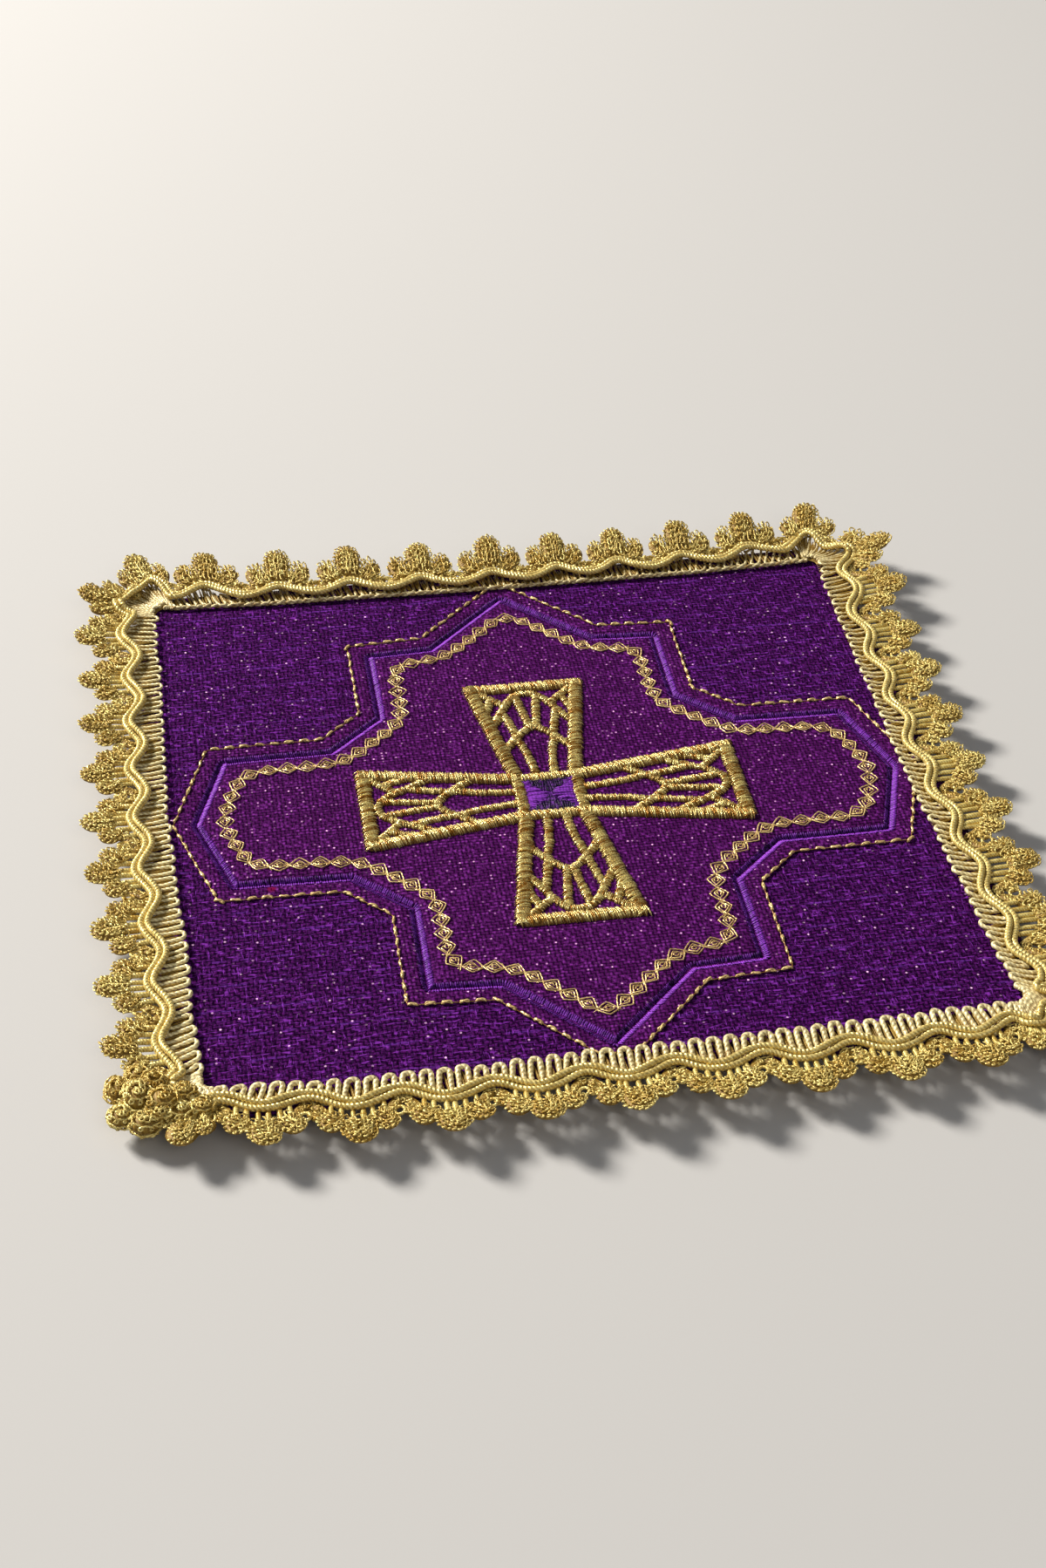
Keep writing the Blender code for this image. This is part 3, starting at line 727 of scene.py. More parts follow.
def divided(distance, pitch=1.2):
    """The parallel line with points added along each edge, the same number on every line."""
    line = parallel(distance)
    guide = satin_line()
    ends = zip(line, np.roll(line, -1, axis=0), guide, np.roll(guide, -1, axis=0))
    pieces = []
    for start, end, first, last in ends:
        steps = max(2, int(round(np.linalg.norm(last - first) / pitch)))
        share = np.arange(steps)[:, None] / steps
        pieces.append(start + (end - start) * share)
    return np.concatenate(pieces)


print("outline points", len(satin_line()), "length mm", round(path_length(satin_line()), 1))

# %% [markdown]
# ## The ground cloth
# The ground cloth wraps the stiff square, so it is one closed skin: square rings that go up
# from the underside, round the edge, and in to the middle of the top. A cube with a bevel would
# do for the shape, but the rings also let the top sink under the medallion. Real cloth is never
# quite flat, so a slow wave lifts it a little.

# %% Ground cloth
EDGE_ROUND = 0.9
CORNER_ROUND = 3.0
MARGIN = 4.2                 # from the satin line out to the medallion's cut edge
SEAT = 1.2                   # how far the ground goes down under the medallion
SEAT_START = 0.4             # how far inside the cut edge it begins to go down
SEAT_SLOPE = 1.6             # over this width
TOP_RINGS = 42
SKIN_GAP = 0.06              # how far the ground's top lies under the cloth's own height
WAVE_HEIGHT = 0.035


def slow_wave(x, y):
    """Unevenness of the cloth: three long sine waves that cross at different angles."""
    waves = np.sin(x * 0.11 + y * 0.05) + np.sin(y * 0.13 - x * 0.07 + 1.3)
    return WAVE_HEIGHT * (waves + np.sin(x * 0.21 + y * 0.19 + 4.0))


def outside(points, line):
    """Signed distance to a closed line, positive outside: the nearest of all its edges, and
    the sign from how many edges a ray crosses."""
    start, end = line, np.roll(line, -1, axis=0)
    edge = end - start
    offset = points[:, None] - start
    share = np.clip((offset * edge).sum(-1) / (edge ** 2).sum(-1), 0.0, 1.0)
    distance = np.linalg.norm(offset - share[..., None] * edge, axis=-1).min(axis=1)
    x, y = points[:, :1], points[:, 1:]
    spans = (start[:, 1] > y) != (end[:, 1] > y)
    rise = np.where(edge[:, 1] == 0.0, 1.0, edge[:, 1])
    crossed = spans & (x < edge[:, 0] * (y - start[:, 1]) / rise + start[:, 0])
    return np.where(crossed.sum(axis=1) % 2 == 1, -distance, distance)


def square_ring(half, height, count=320):
    """A square with round corners: a point at each of count steps round it. The straight
    square's point is pulled in at the corners by a superellipse."""
    angle = 2.0 * np.pi * (np.arange(count) + 0.5) / count
    power = 2.0 / max(0.02, min(1.0, 1.6 * CORNER_ROUND / half))
    cosine, sine = np.cos(angle), np.sin(angle)
    reach = half / (np.abs(cosine) ** power + np.abs(sine) ** power) ** (1.0 / power)
    return np.stack([reach * cosine, reach * sine, np.full(count, height)], axis=-1)


def ground_cloth():
    """Rings from the middle of the underside out, round the edge, and in over the top. Under
    the medallion the top goes down to its seat, so the two cloths never share a plane."""
    rows = [square_ring(half, 0.0) for half in (2.0, 30.0, 60.0, PANEL_HALF - EDGE_ROUND)]
    for base, degrees in ((EDGE_ROUND, (-60, -30, 0)), (CLOTH_TOP - EDGE_ROUND, (0, 30, 60, 90))):
        for angle in np.radians(degrees):
            out = PANEL_HALF - EDGE_ROUND + EDGE_ROUND * math.cos(angle)
            rows.append(square_ring(out, base + EDGE_ROUND * math.sin(angle)))
    for half in np.linspace(PANEL_HALF - 2.0, 2.0, TOP_RINGS):
        rows.append(square_ring(half, CLOTH_TOP - SKIN_GAP))
    points = np.array(rows)
    top = points[..., 2] > CLOTH_TOP - 0.1
    gap = outside(points[..., :2].reshape(-1, 2), placed(parallel(MARGIN))).reshape(top.shape)
    sunk = np.clip((-SEAT_START - gap) / SEAT_SLOPE, 0.0, 1.0) * SEAT
    lifted = slow_wave(points[..., 0], points[..., 1]) * 0.8 - sunk
    points[..., 2] += np.where(top, lifted, 0.0)
    return closed_skin(points)


ground = make_piece("ground_cloth", [ground_cloth()], GROUND, "panel")

# %% [markdown]
# ## The medallion cloth
# The medallion is set in flush with the ground. Its rings follow the outline, dip where the
# satin line is sewn, and turn down at the cut edge under the dashed stitches. Its front and
# back gables run under the lace and are cut straight there.

# %% Medallion cloth with its sunk satin line
MEDALLION_REACH = 71.8       # the gable points end under the lace
CHANNEL = 1.15               # half the width of the channel
CHANNEL_DEEP = 1.05
# Distance from the satin line and height over the cloth, from the cut edge inwards
MEDALLION_PROFILE = (
    (MARGIN - 0.05, -0.55), (MARGIN, -0.25), (MARGIN - 0.02, -0.05), (MARGIN - 0.25, 0.06),
    (MARGIN - 0.8, 0.10), (3.0, 0.14), (2.2, 0.16), (1.7, 0.12), (CHANNEL, -0.04),
    (0.7, -0.40), (0.35, -0.85), (0.0, -CHANNEL_DEEP), (-0.35, -0.85), (-0.7, -0.40),
    (-CHANNEL, -0.04), (-1.7, 0.12), (-2.4, 0.16), (-3.4, 0.14),
)


def medallion_cloth():
    """The rows of the profile, carried round the outline and closed over the middle."""
    rows = []
    for distance, height in MEDALLION_PROFILE:
        flat = placed(divided(distance))
        lift = CLOTH_TOP + height + slow_wave(flat[:, 0], flat[:, 1])
        rows.append(np.column_stack([flat, lift]))
    return closed_skin(np.array(rows))


def cut_ends(piece, reach):
    """Cuts the two gable points off, front and back, and closes the cut."""
    work = bmesh.new()
    work.from_mesh(piece.data)
    for side in (-1.0, 1.0):
        everything = list(work.verts) + list(work.edges) + list(work.faces)
        place, out = (0, side * reach * MM, 0), (0, side, 0)
        bmesh.ops.bisect_plane(work, geom=everything, plane_co=place, plane_no=out, clear_outer=True)
        bmesh.ops.holes_fill(work, edges=[edge for edge in work.edges if edge.is_boundary])
    work.to_mesh(piece.data)
    work.free()


medallion = make_piece("medallion_cloth", [medallion_cloth()], MEDALLION, "medallion")
cut_ends(medallion, MEDALLION_REACH)

# %% [markdown]
# ## Small stitches on a line
# Three kinds of stitch follow the outline. One stitch could be copied along it as an object,
# but then it couldn't bend round a corner. So a motif is drawn in its own small frame, along
# and across the line, and one function moves all the motifs onto the line at once.

# %% Put small motifs on a line
OPEN_CLOTH = 71.0            # how far out from the middle a stitch may lie, inside the header


def heading(line, places, smooth=0.8):
    """Direction of a closed line at given distances: from a little behind to a little ahead."""
    return unit(along_path(line, places + smooth) - along_path(line, places - smooth))


def on_line(line, places, along, across, height):
    """Motif points on a closed line: each place gives a point and a direction, and a motif
    point lies along * direction + across * outward normal from it. The arrays along, across
    and height are motifs by points."""
    direction = heading(line, places)
    middle = along_path(line, places)
    along, across, height = np.broadcast_arrays(along, across, height)
    sideways = across[..., None] * right_of(direction)[:, None]
    flat = middle[:, None] + along[..., None] * direction[:, None] + sideways
    lift = CLOTH_TOP + height + slow_wave(flat[..., 0], flat[..., 1])
    return np.concatenate([flat, lift[..., None]], axis=-1)


def under_lace(paths, reach=OPEN_CLOTH):
    """Keeps the paths that lie on the open cloth, inside the lace's header."""
    return paths[np.abs(paths[..., :2]).max(axis=(1, 2)) < reach]


print("open cloth mm", 2.0 * OPEN_CLOTH)

# %% [markdown]
# ## Satin line
# The satin line is a row of short threads side by side, straight across the sunk channel. A
# line only in the cloth's colours would look flat. Each slope is a row of threads of its own,
# painted light on the slope that faces the lamp and painted shade on the other.

# %% Satin line
SATIN_PITCH = 0.40
SATIN_YARN = 0.21
# The satin's tones are painted light and painted shade: the slope that faces the lamp is painted light,
# the other painted dark
SATIN_TONE = 0.62            # between the tones of the dark slope and of the light one
BOTTOM_SHIFT = 0.28          # how far the channel's bottom lies off its middle, as a share
LIGHT_SIDE = np.array([-0.77, 0.64])      # where the key lamp is, seen from above


def satin_stitches():
    """Threads across the channel: down one slope and up the other, round at the bottom, which
    lies off the middle so that the slope facing the lamp is the wider one."""
    line = placed(satin_line())
    places = even_places(line, SATIN_PITCH)
    count = len(places)
    lit = right_of(heading(line, places)) @ LIGHT_SIDE
    share = np.array([-1.0, -0.70, -0.30, 0.0, 0.30, 0.70, 1.0])
    half = CHANNEL - 0.08 + 0.07 * rng.standard_normal((count, 1))
    across = share * half + BOTTOM_SHIFT * lit[:, None] * half * (1.0 - np.abs(share))
    along = 0.10 * share + 0.05 * rng.standard_normal((count, 1))
    sunk = (CHANNEL_DEEP - 0.22) * (1.0 - np.abs(share) ** 1.05)
    height = 0.06 - sunk + 0.03 * rng.standard_normal((count, 1))
    return under_lace(on_line(line, places, along, across, height))


def satin_walls():
    """The two slopes as separate threads, with painted light and shade: the slope that faces the
    lamp is painted light and the other painted dark, tone = middle + share * (the slope's side .
    the lamp's side)."""
    paths = satin_stitches()
    # Painted light and shade: each slope's tone follows how it faces the key lamp
    facing = unit(paths[:, -1, :2] - paths[:, 0, :2]) @ LIGHT_SIDE
    noise = 0.10 * rng.standard_normal((2, len(paths)))
    outer = tubes(paths[:, 3:], SATIN_YARN, sides=4, tone=SATIN_TONE * (1.0 - facing) + noise[0])
    inner = tubes(paths[:, :4], SATIN_YARN, sides=4, tone=SATIN_TONE * (1.0 + facing) + noise[1])
    return [outer, inner]


make_piece("satin_line", satin_walls(), FINISHES["violet_satin"])

# %% [markdown]
# ## Dashed line
# A gold two-ply thread comes up through the cut edge every few millimetres. Each dash is two
# plies that wind round each other, and a thin low thread joins the dashes, because the real one
# shows faintly between them.

# %% Dashed line
DASH_PITCH = 2.85
DASH_LENGTH = 1.95
DASH_REACH = 72.5            # the dashes run on a little under the header
DASH_PLY = 0.24


def dashes():
    """Two plies that wind round the dash's middle: each is half a ply off it, at opposite
    turns, and the whole dash rises from the cloth in a low arc."""
    line = placed(parallel(MARGIN - 0.1))
    places = even_places(line, DASH_PITCH)
    count = len(places)
    places = places + rng.uniform(-0.12, 0.12, count)
    share = np.linspace(-0.5, 0.5, 10)
    size = DASH_LENGTH * rng.uniform(0.85, 1.10, (count, 1))
    rise = 0.08 + 0.26 * np.maximum(0.0, np.cos(share * np.pi)) ** 0.6
    plies = []
    for turn in (0.0, np.pi):
        wind = share * size * 2.0 * np.pi / 3.0 + turn + rng.uniform(0.0, 6.0, (count, 1))
        tilt = 0.10 * rng.standard_normal((count, 1))
        across = 0.13 * np.cos(wind) + tilt * share
        plies.append(on_line(line, places, share * size, across, rise + 0.10 * np.sin(wind)))
    return [under_lace(ply, DASH_REACH) for ply in plies]


def dash_bed():
    """The thread between the dashes: one thin closed line that lies low in the cloth."""
    line = placed(parallel(MARGIN - 0.1))
    flat = along_path(line, np.arange(0.0, path_length(line), 0.8))
    flat = np.clip(flat, -72.0, 72.0)
    height = CLOTH_TOP + 0.12 + slow_wave(flat[:, 0], flat[:, 1])
    return tubes(np.column_stack([flat, height])[None], 0.11, sides=4, closed=True, tone=-0.4)


dash_parts = [tubes(ply, DASH_PLY, sides=5, tone=rng.uniform(0.8, 1.5, len(ply))) for ply in dashes()]
make_piece("dashed_line", [*dash_parts, dash_bed()], FINISHES["pale_gold"])

# %% [markdown]
# ## Chain line
# The chain is made of fine threads that cross each other between small diamonds. It runs
# inside the satin line and eases the outline's corners, so its own line is the parallel one
# after a smoothing.

# %% Chain line
CHAIN_PITCH = 3.7
CHAIN_IN = 4.3               # from the satin line inwards
CHAIN_YARN = 0.14


def softened(line, width=3.2, step=0.5):
    """A closed line with its corners eased: points step apart, averaged with a bell weight."""
    points = along_path(line, np.arange(0.0, path_length(line), step))
    reach = int(3 * width / step)
    shifts = range(-reach, reach + 1)
    weight = np.exp(-0.5 * (np.array(shifts) * step / width) ** 2)
    weight /= weight.sum()
    return sum(share * np.roll(points, shift, axis=0) for share, shift in zip(weight, shifts))


def chain():
    """Each motif: two long threads that form a gable over and under the line and run on past
    the crossing into the next motif, two shorter ones inside, and a small knot."""
    line = softened(placed(parallel(-CHAIN_IN)))
    places = even_places(line, CHAIN_PITCH)
    count = len(places)
    pitch = path_length(line) / count
    share = np.linspace(-1.0, 1.0, 9)
    inner = share[2:7]
    parts = []
    for side in (-1.0, 1.0):
        for reach, top, fall in ((0.72, 1.62, 2.35), (0.36, 0.95, 1.15)):
            along = share * reach * pitch + 0.07 * rng.standard_normal((count, 1))
            across = side * (top - fall * np.abs(share) ** 1.2) * rng.uniform(0.9, 1.1, (count, 1))
            height = 0.28 + 0.14 * np.cos(share * np.pi) + 0.06 * rng.standard_normal((count, 1))
            threads = on_line(line, places, along, across, height)
            parts.append(tubes(threads, CHAIN_YARN, sides=4, tone=rng.uniform(0.7, 2.0, count)))
        along = inner * 0.28 * pitch + 0.05 * rng.standard_normal((count, 1))
        across = side * 0.42 * (1.0 - 1.4 * np.abs(inner))
        knots = on_line(line, places, along, across, 0.42)
        parts.append(tubes(knots, 0.15, sides=4, tone=rng.uniform(0.7, 1.0, count)))
    return parts


make_piece("chain_line", chain(), FINISHES["pale_gold"])

# %% [markdown]
# ## The cross: its bars
# The cross is a frame round each arm with tracery inside, and every line of it is a bar. The
# bars of one arm are a short table in shares of the arm: how far along it, and how far out
# from its middle. Quarter turns give the other arms, each with its own length.

# %% Bars of the cross
CROSS_REACHES = (36.4, 36.1, 36.3, 37.3)   # back, left, front, right
CROSS_SHIFT = (-0.2, -0.5)
CROSS_END_HALF = 12.1
CROSS_ROOT = 7.05
FRAME_WIDTH = 2.9
BAR_WIDTH = 1.65
# Points of each bar: share of the way along the arm, share of the way out to its side
TRACERY = {
    "leg": ((-0.02, 0.30), (0.20, 0.33), (0.34, 0.40), (0.44, 0.50)),
    "lower_arch": ((0.29, 0.97), (0.41, 0.57), (0.51, 0.25), (0.555, 0.0)),
    "inner_post": ((0.53, 0.07), (0.70, 0.14), (0.89, 0.20)),
    "outer_post": ((0.42, 0.45), (0.57, 0.50), (0.73, 0.57)),
    "upper_arch": ((0.56, 0.97), (0.71, 0.63), (0.85, 0.38), (0.92, 0.18), (0.93, 0.0)),
    "corner": ((0.96, 0.88), (0.86, 0.62), (0.79, 0.42)),
    "spur": ((0.90, 0.66), (0.81, 0.80), (0.71, 0.94)),
}


def arm_point(along, across, arm_reach):
    """A place on the arm that points away: the half width grows evenly from root to end."""
    along, across = np.asarray(along, float), np.asarray(across, float)
    reach = arm_reach - FRAME_WIDTH / 2.0
    root = CROSS_ROOT - FRAME_WIDTH / 2.0
    half = root + (CROSS_END_HALF - FRAME_WIDTH / 2.0 - root) * along
    return np.stack([across * half, root + (reach - root) * along], axis=-1)


def eased(points, rounds=3):
    """Corner cutting: each round puts points at a quarter and three quarters of every edge,
    and keeps the two ends."""
    for _ in range(rounds):
        first = points[:-1] * 0.75 + points[1:] * 0.25
        second = points[:-1] * 0.25 + points[1:] * 0.75
        middle = np.stack([first, second], axis=1).reshape(-1, 2)
        points = np.vstack([points[:1], middle, points[-1:]])
    return points


def arm_bars(arm_reach):
    """The bars of one arm as (path, width, height) rows: the frame first, then the tracery."""
    bars = [(arm_point([1.0, 1.0], [-1.10, 1.10], arm_reach), FRAME_WIDTH, 0.86)]
    bars.append((arm_point([0.0, 0.0], [-1.0, 1.0], arm_reach), FRAME_WIDTH * 0.85, 0.80))
    for side in (-1.0, 1.0):
        bars.append((arm_point([0.0, 1.03], [side, side], arm_reach), FRAME_WIDTH, 0.88))
        for rows in TRACERY.values():
            along, across = np.array(rows).T
            bars.append((eased(arm_point(along, across * side, arm_reach)), BAR_WIDTH, 0.60))
    return bars


def turned(points, turns):
    """Points turned about the middle by whole quarter turns."""
    cosine, sine = [(1, 0), (0, 1), (-1, 0), (0, -1)][turns]
    return points @ np.array([[cosine, sine], [-sine, cosine]])


print("bars of an arm", len(arm_bars(CROSS_REACHES[0])))

# %% [markdown]
# ## The cross: its stitches
# Satin stitch over a padded core: every bar is a row of threads laid across it, each a low arc
# from one side to the other, a little uneven in length and slant. That unevenness makes the
# ragged, glittering edge that a plain bar with a bump pattern wouldn't have.

# %% Stitches of the cross
STITCH_PITCH = 0.37
STITCH_YARN = 0.185


def bar_stitches(path, width, tall):
    """Threads across one bar: half an ellipse from edge to edge, with a random overhang at
    either end and a small random slant."""
    places = np.arange(STITCH_PITCH / 2.0, path_length(path, closed=False), STITCH_PITCH)
    middle = along_path(path, places, closed=False)
    direction = unit(np.gradient(middle, axis=0))
    count = len(places)
    share = np.linspace(-1.0, 1.0, 7)
    left = width / 2.0 + rng.uniform(-0.18, 0.24, (count, 1))
    right = width / 2.0 + rng.uniform(-0.18, 0.24, (count, 1))
    across = np.where(share < 0, share * left, share * right)
    along = (0.20 * rng.standard_normal((count, 1)) + 0.13 * width) * share
    arc = np.sqrt(np.maximum(0.0, 1.02 - share ** 2))
    lift = tall * rng.uniform(0.84, 1.14, (count, 1)) * arc - 0.02
    sideways = across[..., None] * right_of(direction)[:, None]
    flat = middle[:, None] + along[..., None] * direction[:, None] + sideways
    return np.concatenate([flat, (CLOTH_TOP + 0.10 + lift)[..., None]], axis=-1)


def cross_parts():
    """All the stitches of the four arms, and the padded cores under them."""
    stitches, cores = [], []
    for turns in range(4):
        for path, width, tall in arm_bars(CROSS_REACHES[turns]):
            path = placed(turned(path, turns) + CROSS_SHIFT)
            stitches.append(bar_stitches(path, width, tall))
            places = np.linspace(0.0, path_length(path, closed=False), 16)
            core = along_path(path, places, closed=False)
            core = np.column_stack([core, np.full(len(core), CLOTH_TOP + 0.12)])
            cores.append(tubes(core[None], width * 0.47, sides=10, flat=tall * 1.65 / width, tone=0.4))
    return np.concatenate(stitches), cores


stitch_paths, core_parts = cross_parts()
stitch_tones = rng.uniform(-0.5, 1.6, len(stitch_paths))
stitches = tubes(stitch_paths, STITCH_YARN, sides=4, tone=stitch_tones)
make_piece("cross_stitches", [stitches], FINISHES["gold_thread"], "cross_embroidery")
# The padded cores are dark brown: painted shade that shows between the stitches
make_piece("cross_cores", core_parts, FINISHES["gold_core_shade"])
print("cross stitches", len(stitch_paths))

# %% [markdown]
# ## Middle of the cross
# A violet square of four satin triangles. Their threads run in different directions, and the
# way each catches the lamp is painted: two triangles painted shade, nearly black, and two
# painted light. The threads stop short or long at the diagonals, so that neighbouring triangles
# interlock, and a near-black pad under them is painted shade between the threads.

# %% Middle of the cross
CENTRE_HALF = 5.0
CENTRE_PITCH = 0.24


def centre_parts():
    """Four triangles of satin stitch. A thread runs from its triangle's outer edge towards the
    middle and stops at the diagonal, a little short or long, so the triangles interlock. The
    front and back triangles are painted shade, nearly black, and the side ones painted light,
    violet."""
    parts = []
    across = np.arange(-CENTRE_HALF + 0.15, CENTRE_HALF, CENTRE_PITCH)
    share = np.linspace(0.0, 1.0, 6)
    for turns, tone in enumerate((0.0, 1.0, 0.0, 1.0)):
        stop = np.abs(across) + rng.uniform(-0.95, 0.75, len(across))
        y = CENTRE_HALF + (np.clip(stop, 0.0, CENTRE_HALF - 0.4) - CENTRE_HALF)[:, None] * share
        x = across[:, None] + 0.25 * rng.standard_normal((len(across), 1)) * share
        flat = np.stack([x, y], axis=-1).reshape(-1, 2)
        flat = placed(turned(flat, turns) + CROSS_SHIFT).reshape(*y.shape, 2)
        rise = 0.35 + 0.45 * share * (1.6 - share) + 0.05 * rng.standard_normal((len(across), 1))
        paths = np.concatenate([flat, (CLOTH_TOP + rise)[..., None]], axis=-1)
        # Painted light and shade: the tone is low on the front and back triangles, high on the side ones
        tones = tone * 0.95 + rng.uniform(-0.55, 0.55, len(across)) - 0.45 * (1 - tone)
        parts.append(tubes(paths, 0.19, sides=5, tone=tones))
    return parts


def centre_bed():
    """A low pad under the threads, near black: painted shade between them."""
    flat = placed(np.array([(-1, -1), (1, -1), (1, 1), (-1, 1)]) * CENTRE_HALF + CROSS_SHIFT)
    middle = flat.mean(axis=0)
    rows = [
        np.column_stack([middle + (flat - middle) * size, np.full(4, CLOTH_TOP + height)])
        for size, height in ((1.0, 0.05), (1.0, 0.28), (0.5, 0.55), (0.05, 0.66))
    ]
    return closed_skin(np.array(rows), tone=0.0)


centre = [*centre_parts(), centre_bed()]
make_piece("cross_middle", centre, FINISHES["violet_satin"], "cross_centre")

# %% [markdown]
# ## The lace: how it has settled
# The edging is one long trim. It is easiest to design flat: station counts scallops along it,
# and reach is the distance from the middle of the panel. Sewn on by hand it has settled
# unevenly, and a table of a few stations says how, with eased steps between its rows.

# %% How the lace has settled
SCALLOP = 15.0
SIDE_SCALLOPS = 9
CORNER_SCALLOPS = 2
SIDE_STATIONS = SIDE_SCALLOPS + CORNER_SCALLOPS
TOTAL = 4 * SIDE_STATIONS
STRAIGHT = SIDE_SCALLOPS / 2.0
CORNER_AT = STRAIGHT * SCALLOP
HEADER_EDGE = 70.5
LACE_BEND = 76.2             # past this reach the lace lifts
# The table's columns after the station: how far the tips stand up, how far out the header and
# the rest lie, how far the rest sinks, how far the scallops have slid along the edge, counted
# in scallops, and how far out the cord is
TIPS, HEADER_OUT, REST_OUT, SINK, SLIDE, CORD_OUT = range(1, 7)
SETTLING = np.array([
    (0.0, 2.2, 1.1, 0.7, 0.6, 0.0, 0.0),
    (3.0, 1.8, 0.6, 0.4, 0.6, 0.0, 0.0),
    (5.5, 1.4, -0.4, -1.2, 0.3, 0.15, -0.3),
    (8.0, 0.8, -2.3, -2.9, 0.0, 0.38, -1.1),
    (11.0, 0.6, -3.0, -3.7, 0.0, 0.38, -1.2),
    (14.0, 1.0, -2.1, -3.0, 0.0, 0.38, -1.1),
    (16.0, 2.3, -1.2, -0.2, -0.4, 0.30, -0.3),
    (17.0, 2.6, -1.8, -0.4, -0.4, -0.22, -0.3),
    (18.0, 2.7, -2.4, -3.6, -0.3, -0.24, -0.5),
    (19.0, 2.9, -2.8, -5.3, -0.3, -0.24, -0.2),
    (22.0, 2.9, -2.7, -5.7, -0.3, 0.0, -0.6),
    (25.0, 2.4, -2.0, -4.5, -0.3, 0.0, -0.8),
    (26.3, 2.7, -1.1, -1.9, -0.3, 0.0, -0.6),
    (27.0, 2.4, -0.4, 0.9, -0.4, 0.0, 0.2),
    (27.5, 2.2, -0.2, 1.0, -0.3, 0.0, 1.2),
    (28.0, 2.0, 0.0, 0.7, -0.2, 0.0, 0.2),
    (30.0, 0.5, 0.3, -0.2, 0.0, 0.0, 0.0),
    (33.0, 0.4, 0.5, 0.2, 0.0, 0.0, 0.0),
    (36.0, 0.2, -0.9, -1.3, 0.0, 0.0, 0.0),
    (38.0, 0.4, -1.9, -2.8, 0.1, 0.0, 0.0),
    (39.5, 1.0, 0.4, -1.9, 0.4, 0.0, 0.0),
    (41.0, 1.7, 1.6, 0.2, 0.7, 0.0, 0.0),
    (42.5, 2.2, 1.7, 1.0, 0.7, 0.0, 0.0),
    (44.0, 2.2, 1.1, 0.7, 0.6, 0.0, 0.0),
])


def settled(station, column):
    """A value of the table at a station, with eased steps between its rows."""
    place = station % TOTAL
    row = np.clip(np.searchsorted(SETTLING[:, 0], place, side="right") - 1, 0, len(SETTLING) - 2)
    share = (place - SETTLING[row, 0]) / (SETTLING[row + 1, 0] - SETTLING[row, 0])
    share = share * share * (3.0 - 2.0 * share)
    return SETTLING[row, column] + (SETTLING[row + 1, column] - SETTLING[row, column]) * share


print("trim length mm", TOTAL * SCALLOP, "settling rows", len(SETTLING))

# %% [markdown]
# ## The lace: from flat to round
# One function lays any point of the flat trim on the object, straight along the sides and
# round a quarter circle at each corner, and lifts it as it leaves the panel. Every yarn of the
# edging goes through it, so loops, cord and scallops settle together. A curve modifier could
# bend a flat mesh too, but it wouldn't know how this edge has settled.

# %% Lay the flat trim round the panel
def side_of(station):
    """Which side a station is on, counted from the front, and how far it is from its middle."""
    side = np.floor(station / SIDE_STATIONS + 0.5)
    return side, station - side * SIDE_STATIONS


def lay(station, reach, height):
    """Flat trim to the object: whole sides by quarter turns, a quarter circle past each end of
    a side, and beyond the bend a lift that grows with the distance to the power 1.4. Two small
    waves on top of the table keep neighbouring scallops from standing alike."""
    station, reach, height = np.broadcast_arrays(np.asarray(station, float), reach, height)
    side, local = side_of(station - settled(station, SLIDE))
    past = np.maximum(np.abs(local) - STRAIGHT, 0.0)
    angle = past * np.pi / 2.0 / CORNER_SCALLOPS
    outer = np.clip((reach - HEADER_EDGE) / 6.0, 0.0, 1.0)
    header_out = settled(station, HEADER_OUT)
    radius = reach - CORNER_AT + header_out + (settled(station, REST_OUT) - header_out) * outer
    bent = np.sign(local) * (CORNER_AT + radius * np.sin(angle))
    x = np.where(past > 0, bent, local * SCALLOP)
    y = -(CORNER_AT + radius * np.cos(angle))
    cosine, sine = np.cos(side * np.pi / 2.0), np.sin(side * np.pi / 2.0)
    beyond = np.maximum(reach - LACE_BEND, 0.0) / (LACE_REACH - LACE_BEND)
    wave = 0.35 * np.sin(2.1 * station) + 0.2 * np.sin(5.3 * station)
    lift = (settled(station, TIPS) + wave) * beyond ** 1.4
    z = CLOTH_TOP + height - settled(station, SINK) * outer + lift
    return np.stack([x * cosine - y * sine, x * sine + y * cosine, z], axis=-1)


def near_corner(station):
    """1 on the two scallops of a corner, 0 along the straight sides."""
    return np.clip((np.abs(side_of(station)[1]) - STRAIGHT) * 4.0, 0.0, 1.0)


def on_back(station):
    """1 along the back side, 0 on the other three, with soft ends."""
    return np.clip(6.5 - np.abs(station % TOTAL - 22.0), 0.0, 1.0)


print("middle of the front edge mm", lay(0.0, HEADER_EDGE, 0.0).round(1).tolist())

# %% [markdown]
# ## Header
# The header is one yarn that runs in and out like a row of narrow loops. Its inner turns show
# on the cloth, and its outer turns hide under the cord. One loop is drawn from half circles
# and straight legs, and the whole ring of loops is one closed thread.

# %% Header loops
LOOPS = 5
HEADER_YARN = 0.44
LOOP_ROUND = 0.86            # half the width of a loop, to the yarn's middle
CORD_LINE = 76.6             # the cord's middle reach
CORD_WAVE = 1.35
BACK_WAVE = 0.5              # how much more the cord waves along the back


def cord_reach(station):
    """Where the cord's middle runs: out at each scallop's middle, in at each valley, almost
    straight round the corners, and drawn in where the table says so."""
    wave = np.cos(2.0 * np.pi * station)
    eased_corner = near_corner(station) * (0.3 + 1.1 * (1.0 - wave) / 2.0)
    swing = (CORD_WAVE + BACK_WAVE * on_back(station)) * wave
    return CORD_LINE + swing + eased_corner + settled(station, CORD_OUT)


